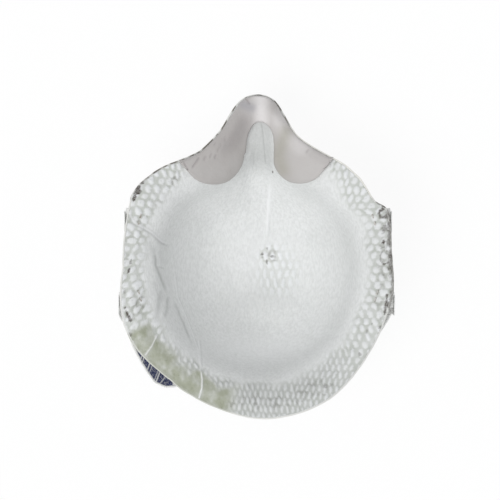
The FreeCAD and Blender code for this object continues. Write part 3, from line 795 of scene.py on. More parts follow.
def creaseMarks(x, y):
    # height, shade and light of the crease and pale places in the bowl and of the channel under the nose
    away, place, _ = nearLine(x, y, liningSet["crease"])
    crease = bell(away, liningSet["creaseHalf"]) * taper(place, 0.15, 0.25)
    rise = liningSet["creaseHigh"] * crease
    light = liningSet["creaseLight"] * crease
    for spot in liningSet["glows"]:
        light = np.maximum(light, softSpot(x, y, spot))
    middle, half, start, strength = liningSet["channel"]
    shade = strength * ease((half - np.abs(x - middle)) / (3 * mm)) * ease((y - start) / (12 * mm))
    for line, wide, strength in liningSet["channelLines"]:
        away, place, _ = nearLine(x, y, line)
        mark = bell(away, wide) * ease((1 - place) / 0.2)
        rise -= liningSet["channelDepth"] * wide * mm * mark
        shade = np.maximum(shade, strength * mark)
    return rise, shade, light


def ridgeMarks(x, y):
    # the sharp ridge on the left with a painted highlight on it, and the bulge and painted shadow below it
    away, place, side = nearLine(x, y, liningSet["ridge"])
    span = ease(place / 0.05 + 0.3) * ease((1 - place) / 0.2)
    below = np.where(side < 0, span, 0.0)
    rise = liningSet["ridgeHigh"] * bell(away, liningSet["ridgeHalf"]) * span
    rise += liningSet["bulge"] * below * np.exp(-away / liningSet["bulgeOver"]) * ease(away / (0.8 * mm))
    soft, over = liningSet["ridgeShade"]
    strength, beside, half = liningSet["ridgeShadow"]
    shade = np.maximum(soft * np.exp(-away / over), strength * bell(away - beside, half)) * below
    paleAndLit, half = liningSet["ridgeLight"]
    return rise, shade, paleAndLit * bell(away, half) * span


def threadMarks(x, y):
    # stuck threads, each with a painted highlight along it and a painted shadow beside it
    rise, shade, light = np.zeros(x.shape), np.zeros(x.shape), np.zeros(x.shape)
    for line, wide, strength in liningSet["threads"]:
        away, place, side = nearLine(x, y, line)
        ends = taper(place, 0.12, 0.06)
        thread = bell(away, wide) * ends
        rise += liningSet["threadHigh"] * wide * mm * thread
        light = np.maximum(light, strength * thread)
        beside = bell(away - 2 * wide * mm, wide) * ends * np.where(side > 0, 1.0, 0.25)
        shade = np.maximum(shade, liningSet["threadShadow"] * strength * beside)
    return rise, shade, light


def wrinkleMarks(x, y):
    # folds of the lining, each between two low swells, with painted shade along the fold
    rise, shade = np.zeros(x.shape), np.zeros(x.shape)
    high, beside, half = liningSet["foldSwell"]
    for line, wide, strength in liningSet["wrinkles"]:
        away, place, _ = nearLine(x, y, line)
        ends = taper(place, 0.2, 0.25)
        fold = bell(away, wide) * ends
        rise -= liningSet["foldDepth"] * wide * mm * strength * fold
        rise += high * strength * bell(away - beside, half) * ends
        shade = np.maximum(shade, liningSet["foldShade"] * strength * fold)
    return rise, shade, np.zeros(x.shape)


def liningRelief(angle, share, x, y):
    # height over the smooth lining, and the paint layers that go with it
    reach = flatReach(faceSkin, angle)
    flat = reach * share
    flatX, flatY = flat * np.cos(angle), flat * np.sin(angle)
    dome, groove, dimple, luck = pressedCells(angle, flatX, flatY)
    pressed = byDirection(liningSet["pressed"], angle) * mm
    ragged = softNoise(flatX, flatY, 5 * mm, 4) * liningSet["ragged"]
    band = ease((pressed + ragged - (reach - flat)) / liningSet["fade"] + 0.5)
    patch, faint = patchesAt(x, y)
    film = filmAt(x, y)

    # how strongly the cells show in height, groove and whiteness, in the band along the edge and the patches
    inBand = [band * (1 - covers * film) for covers in liningSet["filmCovers"]]
    strong = [part * patch for part in liningSet["strongPatch"]]
    weak = [part * faint for part in liningSet["weakPatch"]]
    raised, grooved = [np.maximum(inBand[k], np.maximum(strong[k], weak[k])) for k in (0, 1)]

    least, adds = liningSet["pillowLuck"]
    rise = ((least + adds * luck[1]) * liningSet["pillow"] * dome - liningSet["valley"]) * raised
    rise -= liningSet["dimple"] * dimple * band
    rise += softSurface(angle, share, flat, x, y, 1 - band)
    marks = [find(x, y) for find in (creaseMarks, ridgeMarks, threadMarks, wrinkleMarks)]
    rise += sum(high for high, _, _ in marks)
    light = np.maximum.reduce([paleAndLit for _, _, paleAndLit in marks])

    grey = byDirection(liningSet["grey"], angle) * band * (1 - film) * (1 - 0.55 * dome**0.5)
    clouds = 0.05 * softNoise(x, y, 12 * mm, 18) * (1 - band)
    clouds += sum(softSpot(x, y, spot) for spot in liningSet["clouds"])
    shade = np.clip(np.maximum.reduce([grey] + [dark for _, dark, _ in marks]) + clouds, 0, 1)
    mottled = 0.75 + 0.35 * softNoise(flatX, flatY, 3.2 * mm, 12)
    grime = grimyAt(x, y) * (0.15 + 0.85 * groove) * ease(0.55 + softNoise(x, y, 1.1 * mm, 8))
    # the cell tops' white is partly their own colour and partly a painted highlight, strongest on each crown
    least, adds = liningSet["whiteLuck"]
    white = byDirection(liningSet["whiteness"], angle) * (least + adds * luck[1])
    white = white * inBand[2] + strong[2] + weak[2]
    paints = {
        "groove": groove * mottled * grooved,
        "film": np.maximum(film, 0.15 * patch * groove),
        "dirt": np.maximum(dirtAt(x, y), grime),
        # painted shade in the pinpricks
        "shade": np.maximum(shade, 0.40 * dimple * band),
        "light": light,
        "white": np.clip(dome**0.5 * white, 0, 1),
    }
    return rise, paints


def sheetGrid(turns, rings, reach=1.0):
    # directions and shares of a grid over a skin, from its middle to this share of the way out
    angle = np.repeat((np.arange(turns) * 2 * math.pi / turns)[:, None], rings + 1, axis=1)
    share = np.repeat(np.linspace(0, reach, rings + 1)[None], turns, axis=0)
    return angle, share


def overSkin(skin, angle, share, lift):
    # places at this height over a skin, towards the inside of the cup
    return skinPoint(skin, angle, share) + skinNormal(skin, angle, share) * np.asarray(lift)[..., None]


def sheetFaces(turns, rings, first, flip):
    # faces of a round sheet whose middle is one point; first is the number of its middle point
    faces = []
    for i in range(turns):
        here, there = first + 1 + i * rings, first + 1 + (i + 1) % turns * rings
        ends = [(first, here, there)]
        ends += [(here + k, here + k + 1, there + k + 1, there + k) for k in range(rings - 1)]
        faces += [face[::-1] for face in ends] if flip else ends
    return faces


def roundSheet(name, front, back):
    # closed sheet between two grids (turns x rings) that share their number of turns
    turns = front.shape[0]
    middle = front[:, 0].mean(axis=0)[None]
    backMiddle = back[:, 0].mean(axis=0)[None]
    points = np.concatenate([middle, front[:, 1:].reshape(-1, 3), backMiddle, back[:, 1:].reshape(-1, 3)])
    frontRings, backRings = front.shape[1] - 1, back.shape[1] - 1
    second = 1 + turns * frontRings
    faces = sheetFaces(turns, frontRings, 0, False) + sheetFaces(turns, backRings, second, True)
    for i in range(turns):
        j = (i + 1) % turns
        a, b = i * frontRings + frontRings, j * frontRings + frontRings
        c, d = second + i * backRings + backRings, second + j * backRings + backRings
        faces.append((a, c, d, b))
    return addMesh(name, points, faces)


def onSheet(values, backCount):
    # paint values of a grid, laid out as roundSheet numbers its points, with none on the back
    return np.concatenate([[values[:, 0].mean()], values[:, 1:].ravel(), np.zeros(backCount)])


def makeLining():
    turns, backRings = liningSet["turns"], liningSet["backRings"]
    angle, share = sheetGrid(turns, liningSet["rings"])
    smooth = skinPoint(faceSkin, angle, share)
    rise, paints = liningRelief(angle, share, smooth[..., 0], smooth[..., 1])
    front = smooth + skinNormal(faceSkin, angle, share) * rise[..., None]
    back = overSkin(faceSkin, *sheetGrid(turns, backRings), -liningSet["thickness"])
    lining = roundSheet("pressedLining", front, back)
    for name, values in paints.items():
        paintPoints(lining, name, onSheet(values, 1 + turns * backRings))
    return lining


# cover web, which bulges a little through the net, and the filter felt inside

webSet = {
    "turns": 480,
    "rings": 110,
    "backRings": 10,
    "depth": 0.75 * mm,  # under the net's outer skin
    "thickness": 0.25 * mm,
    "bulge": 0.38 * mm,
    "bulgeHalf": (0.42, 0.45),  # half width and half height of a bulge, in parts of a cell
}
feltSet = {
    "turns": 240,
    "rings": 40,
    "reach": 0.985,  # share of the way out that the felt covers
    "place": (0.56, 0.80),  # parts of the way from the net's skin to the lining's
}


def makeCoverWeb():
    turns = webSet["turns"]
    angle, share = sheetGrid(turns, webSet["rings"])
    flat = flatReach(netSkin, angle) * share
    offX, offY, lot = nearestCell(flat * np.cos(angle), flat * np.sin(angle))
    halfX, halfY = webSet["bulgeHalf"]
    dome = np.clip(1 - (offX / halfX) ** 2 - (offY / halfY) ** 2, 0, 1)
    luck = 0.8 + 0.4 * cellLuck[1, lot]
    front = overSkin(netSkin, angle, share, webSet["depth"] - webSet["bulge"] * dome * luck)
    back = sheetGrid(turns, webSet["backRings"])
    return roundSheet("coverWeb", overSkin(netSkin, *back, webSet["depth"] + webSet["thickness"]), front)


def makeFelt():
    # the web and the lining both hide it
    angle, share = sheetGrid(feltSet["turns"], feltSet["rings"], feltSet["reach"])
    outside, inside = skinPoint(netSkin, angle, share), skinPoint(faceSkin, angle, share)
    low, high = feltSet["place"]
    return roundSheet("needledFelt", outside + (inside - outside) * high, outside + (inside - outside) * low)


# moulded net over the outside of the cup

netSet = {
    "thickness": 0.8 * mm,
    "crown": 0.10 * mm,  # how much a strand stands up along its middle
    # share of the cell's outline and depth of each loop of points, from a strand's top round to its back
    "loops": [(0.86, 0.02 * mm), (0.74, 0.30 * mm), (0.73, 0.58 * mm), (0.82, 0.80 * mm)],
    "corner": 0.35,  # how round the holes are
    "solidEdge": 1.1 * mm,  # cells whose middles lie this close to the edge have no hole
    "past": 0.45,  # cells whose middles lie past the edge by less than this part of a cell stay
}


def cellOutline():
    # corners and side middles of one upright hexagon, and its hole as shares of the outline
    pitch, row = cellSet["pitch"], cellSet["row"]
    corners = [(0, 2 / 3 * row), (pitch / 2, row / 3), (pitch / 2, -row / 3)]
    corners += [(-x, -y) for x, y in corners]
    outline = []
    for (ax, ay), (bx, by) in zip(corners, corners[1:] + corners[:1]):
        outline += [(ax, ay), ((ax + bx) / 2, (ay + by) / 2)]
    outline = np.array(outline)
    reach = np.array([pitch / math.sqrt(3), row * 2 / 3])
    length = np.linalg.norm(outline / reach, axis=1)
    rounding = length.min() / length
    return outline, 1 - netSet["corner"] + netSet["corner"] * rounding


def netCells():
    # middles of the cells that lie on the cup, and which of them have no hole
    pitch, row = cellSet["pitch"], cellSet["row"]
    reach = netSkin["reach"].max()
    wide = int(1.2 * reach / pitch) + 2
    middles = []
    for j in range(-int(1.2 * reach / row) - 2, int(reach / row) + 3):
        middles += [((i + 0.5 * (j % 2)) * pitch, j * row) for i in range(-wide, wide + 1)]
    middles = np.array(middles)
    flatX, flatY = fromLattice(middles[:, 0], middles[:, 1])
    fromEdge = flatReach(netSkin, np.arctan2(flatY, flatX)) - np.hypot(flatX, flatY)
    kept = fromEdge > -netSet["past"] * pitch
    return middles[kept], fromEdge[kept] < netSet["solidEdge"]


def onNet(flat, depth):
    # points of the lattice at a depth under the net's skin, held within the cup's edge
    x, y = fromLattice(flat[:, 0], flat[:, 1])
    angle = np.arctan2(y, x)
    share = np.minimum(np.hypot(x, y) / flatReach(netSkin, angle), 1)
    return overSkin(netSkin, angle, share, np.full(len(flat), depth))


def makeNet():
    outline, rounding = cellOutline()
    middles, solid = netCells()
    corners = (middles[:, None] + outline[None]).reshape(-1, 2)
    keys = np.round(corners / (0.1 * mm)).astype(int)
    _, chosen, shared = np.unique(keys, axis=0, return_index=True, return_inverse=True)
    shared = shared.reshape(len(middles), len(outline))
    edgePoints = corners[chosen]
    points = [onNet(edgePoints, -netSet["crown"]), onNet(edgePoints, netSet["thickness"])]
    count = 2 * len(edgePoints)
    loops = []
    for part, depth in netSet["loops"]:
        flat = (middles[:, None] + outline[None] * (rounding * part)[None, :, None]).reshape(-1, 2)
        points.append(onNet(flat, depth))
        loops.append(count + np.arange(len(flat)).reshape(len(middles), len(outline)))
        count += len(flat)
    faces = []
    for c in range(len(middles)):
        rows = [shared[c]] + [loop[c] for loop in loops] + [shared[c] + len(edgePoints)]
        rows = [loop.tolist() for loop in rows]
        if solid[c]:
            faces += [tuple(rows[0][::-1]), tuple(rows[-1])]
            continue
        for one, other in zip(rows, rows[1:]):
            faces += list(zip(one, one[1:] + one[:1], other[1:] + other[:1], other))
    return addMesh("mouldedNet", np.concatenate(points), faces)


# melted edge that closes the layers

edgeSet = {
    "turns": 960,
    "halfWide": 0.17 * mm,
    "over": 0.02 * mm,  # how far it stands over the lining and the net
    "sides": 14,
    "square": 0.75,
    "out": 0.85,  # how far out its middle lies, in half widths
    # how uneven its width and height are, and the length of a lump
    "uneven": (0.18, 0.5),
    "lumps": (1.3 * mm, 0.9 * mm),
    # stretches in degrees, from and to, and how softly each end fades
    "cream": (24, 80, 5, 8),
    "soot": (74, 150, 6, 8),
    "sootDashes": 1.6 * mm,  # length of its dashes
}


def stretch(direction, start, end, startFade, endFade):
    # 1 along a stretch of the edge
    return ease((direction - start) / startFade) * ease((end - direction) / endFade)


def makeEdge():
    turns, sides = edgeSet["turns"], edgeSet["sides"]
    angle = np.arange(turns) * 2 * math.pi / turns
    one = np.ones(turns)
    top = skinPoint(faceSkin, angle, one)
    low = skinPoint(netSkin, angle, one)
    out = low - skinPoint(netSkin, angle, one * 0.98)
    out = out / np.linalg.norm(out, axis=1, keepdims=True)
    up = top - low
    high = np.linalg.norm(up, axis=1)
    up = up / high[:, None]
    along = angle * 60 * mm
    wideLumps, tallLumps = edgeSet["lumps"]
    wideUneven, tallUneven = edgeSet["uneven"]
    wide = edgeSet["halfWide"] * (1 + wideUneven * softNoise(along, one * 0, wideLumps, 12))
    tall = high / 2 + edgeSet["over"] * (1 + tallUneven * softNoise(along, one * 0, tallLumps, 13))
    middle = (top + low) / 2 + out * (edgeSet["halfWide"] * edgeSet["out"])
    points = []
    for k in range(sides):
        turn = 2 * math.pi * k / sides
        across = math.copysign(abs(math.cos(turn)) ** edgeSet["square"], math.cos(turn))
        upward = math.copysign(abs(math.sin(turn)) ** edgeSet["square"], math.sin(turn))
        points.append(middle + out * (wide * across)[:, None] + up * (tall * upward)[:, None])
    points = np.stack(points, axis=1)
    faces = []
    for i in range(turns):
        here, there = i * sides, (i + 1) % turns * sides
        for k in range(sides):
            n = (k + 1) % sides
            faces.append((here + k, there + k, there + n, here + n))
    edge = addMesh("meltedEdge", points.reshape(-1, 3), faces)
    x, y = points[..., 0].ravel(), points[..., 1].ravel()
    direction = np.degrees(np.arctan2(y, x))
    dashes = ease(0.52 + 1.35 * softNoise(direction * mm, direction * 0, edgeSet["sootDashes"], 17))
    paintPoints(edge, "dirt", dirtAt(x, y))
    paintPoints(edge, "cream", stretch(direction, *edgeSet["cream"]))
    paintPoints(edge, "soot", stretch(direction, *edgeSet["soot"]) * dashes)
    paintPoints(edge, "film", filmAt(x, y))
    return edge


# foam cushion over the nose

foamSet = {
    "voxel": 0.42 * mm,
    "smoothing": 26,
    "fill": 0.9,
    # the slot closes in towards its end: its middle, its half width there, where that starts and over how
    # much, how softly it ends beside the slot, and how far the left and the right lobe move
    "slotMiddle": 0.9 * mm,
    "slotHalf": 6 * mm,
    "closesFrom": 49 * mm,
    "closesOver": 11 * mm,
    "closesBeside": 4 * mm,
    "closes": (1.6 * mm, 0.9 * mm),
    "outlineSteps": 2,  # directions in each degree in which its outline is found
    "outlineSmoothing": 6,
    "edgeGap": 0.05 * mm,  # the drawn-out foam to the cup's edge
    "drawn": 9 * mm,  # width of the strip that is drawn out to the edge
    "edgeHigh": 0.75,  # part of its height that the foam keeps at the edge
    "thinning": 9 * mm,
    "sunk": 0.35 * mm,  # its foot lies this deep in the soft lining
    "uneven": [(5 * mm, 41, 0.12 * mm), (1.2 * mm, 42, 0.05 * mm)],
    # marks on its top: half width in mm, strength of the paint, points
    "tip": (4.2, 1.0, [(1.6, 61), (0.8, 66), (1.4, 72)]),  # pressed and bleached
    "smudge": (2.4, 0.8, [(-6.5, 68.5), (-3.0, 67.0)]),
    "olive": (3.2, 0.7, [(12.6, 56), (10.6, 50), (9.4, 45), (11.4, 39)]),
    # painted shade on the left lobe beside the slot, and painted light on the right lobe, where they face
    # away from and towards the lamp
    "shadow": (4.5, 0.34, [(-6.0, 61), (-9.5, 55.5), (-14.5, 50.0)]),
    "litSide": (5.0, 0.62, [(9.5, 61), (13.5, 55.5), (20.0, 50.0)]),
    # small nicks and longer creases, as lines
    "nicks": [
        [(-16.9, 48.9), (-16.4, 50.4)], [(-14.8, 52.4), (-14.4, 53.8)], [(-18.0, 47.4), (-17.4, 48.7)],
        [(-24.2, 43.4), (-23.6, 44.7)], [(-21.5, 44.6), (-20.9, 46.0)], [(-19.3, 44.2), (-18.9, 45.4)],
        [(-19.8, 50.2), (-19.0, 51.2)], [(22.0, 46.8), (22.8, 47.9)],
    ],
    "creases": [
        [(-26.7, 44.1), (-28.2, 41.6), (-29.8, 39.2)],
        [(-33.4, 41.8), (-31.2, 38.2)],
        [(-5.2, 71), (-3.4, 68.4)],
    ],
    # depth of the pressed tip, of a nick and of a crease, and how much shade is painted in the last two
    "sink": (0.35 * mm, 0.25 * mm, 0.45 * mm),
    "nickShade": 0.34,
    "creaseShade": 0.45,
    # strength of the painted light on its right side and at its foot
    "litRight": 0.16,
    "litFoot": 0.6,
}


def smoothLine(values):
    for _ in range(foamSet["outlineSmoothing"]):
        values = np.concatenate([values[:1], (values[:-2] + 2 * values[1:-1] + values[2:]) / 4, values[-1:]])
    return values


def evenFoam():
    # the cushion's solid with an even mesh and soft edges, and its points and normals
    foam = bpy.data.objects.new("noseFoam", frame["nodes"]["nose_cushion"].data.copy())
    foam.data.materials.clear()
    scene.collection.objects.link(foam)
    remesh = foam.modifiers.new("evenMesh", "REMESH")
    remesh.mode = "VOXEL"
    remesh.voxel_size = foamSet["voxel"]
    softer = foam.modifiers.new("softEdges", "SMOOTH")
    softer.factor = 0.5
    softer.iterations = foamSet["smoothing"]
    depsgraph = bpy.context.evaluated_depsgraph_get()
    mesh = bpy.data.meshes.new_from_object(foam.evaluated_get(depsgraph))
    foam.modifiers.clear()
    foam.data = mesh
    mesh.name = "noseFoam"
    points = np.zeros(len(mesh.vertices) * 3)
    normals = np.zeros(len(mesh.vertices) * 3)
    mesh.vertices.foreach_get("co", points)
    mesh.vertices.foreach_get("normal", normals)
    return foam, points.reshape(-1, 3), normals.reshape(-1, 3)


def closeSlot(points):
    # leans the two lobes towards each other beside the slot's open end
    fromSlot = points[:, 0] - foamSet["slotMiddle"]
    far = np.abs(fromSlot)
    left, right = foamSet["closes"]
    closes = np.where(fromSlot < 0, left, -right) * np.minimum(far / foamSet["slotHalf"], 1)
    closes = closes * np.exp(-np.maximum(far - foamSet["slotHalf"], 0) / foamSet["closesBeside"])
    points[:, 0] += closes * ease((points[:, 1] - foamSet["closesFrom"]) / foamSet["closesOver"])


def drawToEdge(points):
    # draws the foam out to the cup's edge, from its own outline in each direction, and thins it there
    level, inset = levelAt(faceSkin, points[:, 0], points[:, 1])
    high = np.maximum(points[:, 2] - level, 0)
    direction = np.degrees(np.arctan2(points[:, 1], points[:, 0]))
    step = np.floor(direction * foamSet["outlineSteps"]).astype(int)
    steps = np.unique(step)
    outline = np.array([inset[step == one].min() for one in steps])
    outline = np.interp(step, steps, smoothLine(outline))
    near = ease(1 - (inset - outline) / foamSet["drawn"])
    away = np.hypot(points[:, 0], points[:, 1])
    points[:, :2] *= (1 + (outline - foamSet["edgeGap"]) * near / away)[:, None]
    level, inset = levelAt(faceSkin, points[:, 0], points[:, 1])
    keep = foamSet["edgeHigh"] + (1 - foamSet["edgeHigh"]) * ease(inset / foamSet["thinning"])
    points[:, 2] = level + high * keep - foamSet["sunk"]
    return high


def markAt(x, y, name):
    # one of the marks on the foam's top
    half, strength, line = foamSet[name]
    return strength * bell(nearLine(x, y, line)[0], half)


def makeFoam():
    foam, points, normals = evenFoam()
    closeSlot(points)
    high = drawToEdge(points)
    x, y = points[:, 0], points[:, 1]
    top = normals[:, 2] > 0
    tip = markAt(x, y, "tip") * top
    dents = np.zeros(x.shape)
    for line in foamSet["nicks"]:
        away, _, _ = nearLine(x, y, line)
        dents = np.maximum(dents, bell(away, 0.5))
    creases = np.zeros(x.shape)
    for line in foamSet["creases"]:
        away, place, _ = nearLine(x, y, line)
        creases = np.maximum(creases, bell(away, 0.45) * ease((1 - place) / 0.2))
    sink = sum(deep * mark for deep, mark in zip(foamSet["sink"], (tip, dents, creases)))
    rise = layeredNoise(x, y, foamSet["uneven"]) - sink * top
    foam.data.vertices.foreach_set("co", (points + normals * rise[:, None]).ravel())
    foam.data.update()
    foam.data.shade_smooth()

    # painted light: its right side is paler, as if lit more, and so is its foot on the lobes, painted paler
    # against the shade where it meets the lining
    foot = ease(1 - (high - 0.5 * mm) / (1.2 * mm)) * ease((58 * mm - y) / (8 * mm))
    right = ease((x - 8 * mm) / (12 * mm))
    paleAndLit = np.maximum(tip, markAt(x, y, "litSide"))
    paleAndLit = np.maximum.reduce([paleAndLit, foamSet["litRight"] * right, foamSet["litFoot"] * foot])
    # painted shade in the nicks and creases and on the left lobe beside the slot
    foamShade = np.maximum(foamSet["nickShade"] * dents, foamSet["creaseShade"] * creases)
    foamShade = np.maximum(foamShade, markAt(x, y, "shadow"))
    paintPoints(foam, "paleAndLit", paleAndLit)
    paintPoints(foam, "smudge", markAt(x, y, "smudge") * top)
    paintPoints(foam, "olive", markAt(x, y, "olive") * top)
    paintPoints(foam, "foamShade", foamShade * top)
    return foam


# elastic straps and their stapled ends

strapSet = {
    "width": 7.0 * mm,
    "thickness": 0.9 * mm,
    "step": 0.45 * mm,
    "ribs": 9,
    "ribHigh": 0.07 * mm,
    "flatPart": 0.95,  # part of the width that the ribs cover
    "flutter": (0.02, 1.1 * mm),  # how uneven the width is, and over what length
    "lieGap": 0.4 * mm,  # between the net and a stapled end
    "clear": 0.45 * mm,  # between a loop and the cup's edge where it turns
    "turnGap": 0.25 * mm,  # between a loop and the stapled end beside it
    "slim": (0.5, 7 * mm, 16 * mm),  # part of the thickness at a loop's ends, up to where, full from where
    "stapleInset": 4.8 * mm,  # from the cup's edge to the middle of the grip
    "grip": 6.5 * mm,  # length of a stapled end that lies along the net
    "floorGap": 0.15 * mm,
    "turnsRound": -12.2 * mm,  # place on the centre line that the lying loops go round
    # plain printed bars, as start and end along each repeat in mm, on the outer face only
    "repeat": 27 * mm,
    "bars": [(0.0, 1.4), (2.2, 6.4), (7.0, 9.6), (10.6, 11.4), (12.2, 17.4), (18.0, 19.6), (20.6, 25.8)],
    "barHalf": 0.84,
    "bareEnd": 34 * mm,
}

# each loop past its turns, from right to left: share of the way out to its turn, share of the way from
# its turns to its far end, and how flat the band lies there
loopSet = {
    "upper_strap": {
        "farY": -35.3 * mm,
        "loop": [
            (0.958, 0.23, 1), (0.868, 0.42, 1), (0.727, 0.65, 1), (0.48, 0.88, 1), (0.20, 0.99, 1),
            (-0.20, 0.99, 1), (-0.48, 0.88, 1), (-0.727, 0.65, 1), (-0.868, 0.42, 1), (-0.958, 0.23, 1),
        ],
    },
    "lower_strap": {
        "farY": -58.6 * mm,
        "loop": [
            (0.975, 0.10, 1), (0.938, 0.20, 0.6), (0.905, 0.30, 0.3), (0.860, 0.40, 0.3), (0.755, 0.59, 0.6),
            (0.60, 0.77, 1), (0.40, 0.87, 1), (0.0, 0.89, 1), (-0.320, 0.925, 1), (-0.503, 0.968, 0.8),
            (-0.579, 0.995, 0.55), (-0.629, 1.008, 0.50), (-0.679, 1.002, 0.50), (-0.734, 0.950, 0.50),
            (-0.791, 0.820, 0.50), (-0.846, 0.671, 0.46), (-0.889, 0.526, 0.44), (-0.914, 0.39, 0.7),
            (-0.944, 0.24, 1),
        ],
    },
}


def smoothPath(points, widths, step):
    # evenly spaced places on a smooth line through the points, with the width's direction at each
    many = 24  # places between two points
    points, widths = np.array(points), np.array(widths)
    points = np.concatenate([[2 * points[0] - points[1]], points, [2 * points[-1] - points[-2]]])
    widths = np.concatenate([widths[:1], widths, widths[-1:]])
    path, across = [], []
    for i in range(1, len(points) - 2):
        for k in range(many):
            weights = cubicWeights(k / many)
            path.append(sum(w * points[i - 1 + n] for n, w in enumerate(weights)))
            across.append(sum(w * widths[i - 1 + n] for n, w in enumerate(weights)))
    path, across = np.array(path + [points[-2]]), np.array(across + [widths[-2]])
    run = np.concatenate([[0], np.cumsum(np.linalg.norm(np.diff(path, axis=0), axis=1))])
    even = np.linspace(0, run[-1], int(run[-1] / step) + 1)
    path = np.stack([np.interp(even, run, path[:, a]) for a in range(3)], axis=1)
    across = np.stack([np.interp(even, run, across[:, a]) for a in range(3)], axis=1)
    return path, across, even


def bandSection():
    # outline of the ribbed band, as parts of its half width and half thickness
    ribs, perRib, flatPart = strapSet["ribs"], 4, strapSet["flatPart"]
    top = []
    for k in range(ribs * perRib + 1):
        u = -flatPart + 2 * flatPart * k / (ribs * perRib)
        wave = math.cos(2 * math.pi * k / perRib)
        top.append((u, 1 - strapSet["ribHigh"] / strapSet["thickness"] * (1 + wave)))
    side = [(0.985, 0.82), (1.0, 0.45), (1.0, 0.0), (1.0, -0.45), (0.985, -0.82)]
    return top + side + [(-u, -v) for u, v in top + side]


def paintBand(band, run, section, fromEnd, loop):
    # ink of the printed bars, and the places along and across the band that its knit follows
    place, onFace = np.array(section).T
    repeat = (run % strapSet["repeat"]) / mm
    printed = np.zeros(len(run))
    for start, end in strapSet["bars"]:
        printed = np.maximum(printed, (repeat >= start) & (repeat <= end))
    printed *= (fromEnd > strapSet["bareEnd"]) * loop
    ink = printed[:, None] * ((np.abs(place) < strapSet["barHalf"]) & (onFace > 0))[None]
    paintPoints(band, "ink", ink)
    paintPoints(band, "run", np.repeat(run[:, None], len(section), axis=1))
    paintPoints(band, "across", np.repeat(place[None] * strapSet["width"] / 2, len(run), axis=0))


def makeBand(name, points, widths, loop):
    # a loop has round, thinner ends and printed bars, and a stapled end has neither
    path, across, run = smoothPath(points, widths, strapSet["step"])
    tangent = np.gradient(path, axis=0)
    tangent = tangent / np.linalg.norm(tangent, axis=1, keepdims=True)
    across = across - tangent * (across * tangent).sum(axis=1, keepdims=True)
    across = across / np.linalg.norm(across, axis=1, keepdims=True)
    through = np.cross(tangent, across)
    half = strapSet["width"] / 2
    fromEnd = np.minimum(run, run[-1] - run)
    part, slimTo, fullFrom = strapSet["slim"]
    narrow = np.ones(len(run))
    if loop:
        narrow = np.where(fromEnd > half, 1, np.sqrt(np.clip(1 - (1 - fromEnd / half) ** 2, 0.02, 1)))
    depth = 1 - (1 - part) * ease((fullFrom - fromEnd) / (fullFrom - slimTo)) * loop
    depth = strapSet["thickness"] / 2 * depth[:, None]
    uneven, length = strapSet["flutter"]
    wide = across * (half * narrow * (1 + uneven * np.sin(run / length)))[:, None]
    section = bandSection()
    count = len(section)
    grid = np.stack([path + wide * u + through * depth * v for u, v in section], axis=1)
    faces = []
    for i in range(len(path) - 1):
        here, there = i * count, (i + 1) * count
        for k in range(count):
            n = (k + 1) % count
            faces.append((here + k, here + n, there + n, there + k))
    last = (len(path) - 1) * count
    faces.append(tuple(range(count))[::-1])
    faces.append(tuple(last + k for k in range(count)))
    band = addMesh(name, grid.reshape(-1, 3), faces)
    paintBand(band, run, section, fromEnd, loop)
    return band


def edgeOnSide(side):
    # directions and points of the net's edge along one side of the cup
    angles = np.linspace(-1.0, 1.0, 400) + (0 if side > 0 else math.pi)
    return angles, skinPoint(netSkin, angles, np.ones(400))


def besideEdge(turn, side):
    # how far out a loop's inner face lies where it turns, just clear of the cup's edge
    _, edge = edgeOnSide(side)
    beside = np.abs(edge[:, 1] - turn.y) < strapSet["width"] / 2
    return np.abs(edge[beside, 0]).max() + strapSet["clear"]


def makeStrap(body):
    turn = turnAt[body]
    slim = strapSet["thickness"] * strapSet["slim"][0]
    turns = {side: side * (besideEdge(turn, side) + slim / 2) for side in (1, -1)}
    lowest = strapSet["floorGap"] + strapSet["thickness"] / 2
    start = Vector((0, turn.y, turn.z))
    lie = Vector((0, loopSet[body]["farY"], lowest)) - start
    down = lie.normalized()
    edgeOn = Vector((0, down.z, -down.y))
    half = strapSet["width"] / 2
    ends = (-0.5 * half, 0, half, 2 * half)
    points = [start + Vector((turns[1], 0, 0)) + down * way for way in ends]
    widths = [edgeOn] * len(ends)
    for out, share, flat in loopSet[body]["loop"]:
        side = 1 if out >= 0 else -1
        point = start + Vector((turns[side] * abs(out), 0, 0)) + down * (lie.length * share)
        away = Vector((point.x, point.y - strapSet["turnsRound"], 0)).normalized()
        lying = away * flat + Vector((0, 0, 1 - flat))
        width = (edgeOn * (1 - share) + lying * share).normalized()
        point.z = max(point.z, lowest + half * abs(width.z))
        points.append(point)
        widths.append(width)
    # the width keeps its sense all round the loop
    points += [start + Vector((turns[-1], 0, 0)) + down * way for way in ends[::-1]]
    widths += [edgeOn] * len(ends)
    strap = makeBand(body.replace("_strap", "") + "Elastic", points, widths, True)
    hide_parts(body)
    return strap


def makeStrapEnd(corner, strapBody, side):
    turn = turnAt[strapBody]
    angles, edge = edgeOnSide(side)
    angle = angles[np.argmin(np.abs(edge[:, 1] - turn.y))]
    shares = np.linspace(0.6, 1, 200)
    way = skinPoint(netSkin, np.full(200, angle), shares)
    inset = np.hypot(*(way[:, :2] - way[-1, :2]).T)
    points, widths = [], []
    depth = strapSet["lieGap"] + strapSet["thickness"] / 2
    where = np.array([angle])
    for step in (1, 0, -1):
        wanted = strapSet["stapleInset"] + strapSet["grip"] / 2 * step
        share = np.array([shares[np.argmin(np.abs(inset - wanted))]])
        points.append(overSkin(netSkin, where, share, -depth)[0])
        sideways = skinPoint(netSkin, where + 0.02, share)[0] - skinPoint(netSkin, where - 0.02, share)[0]
        widths.append(sideways / np.linalg.norm(sideways) * side)
    turnX = side * (besideEdge(turn, side) - strapSet["turnGap"])
    points.append(np.array([turnX, turn.y, turn.z]))
    widths.append(np.array([0, 1.0, 0]))
    end = makeBand("stapledEnd_" + corner, points, widths, False)
    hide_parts("strap_end_" + corner)
    return end


# finishes

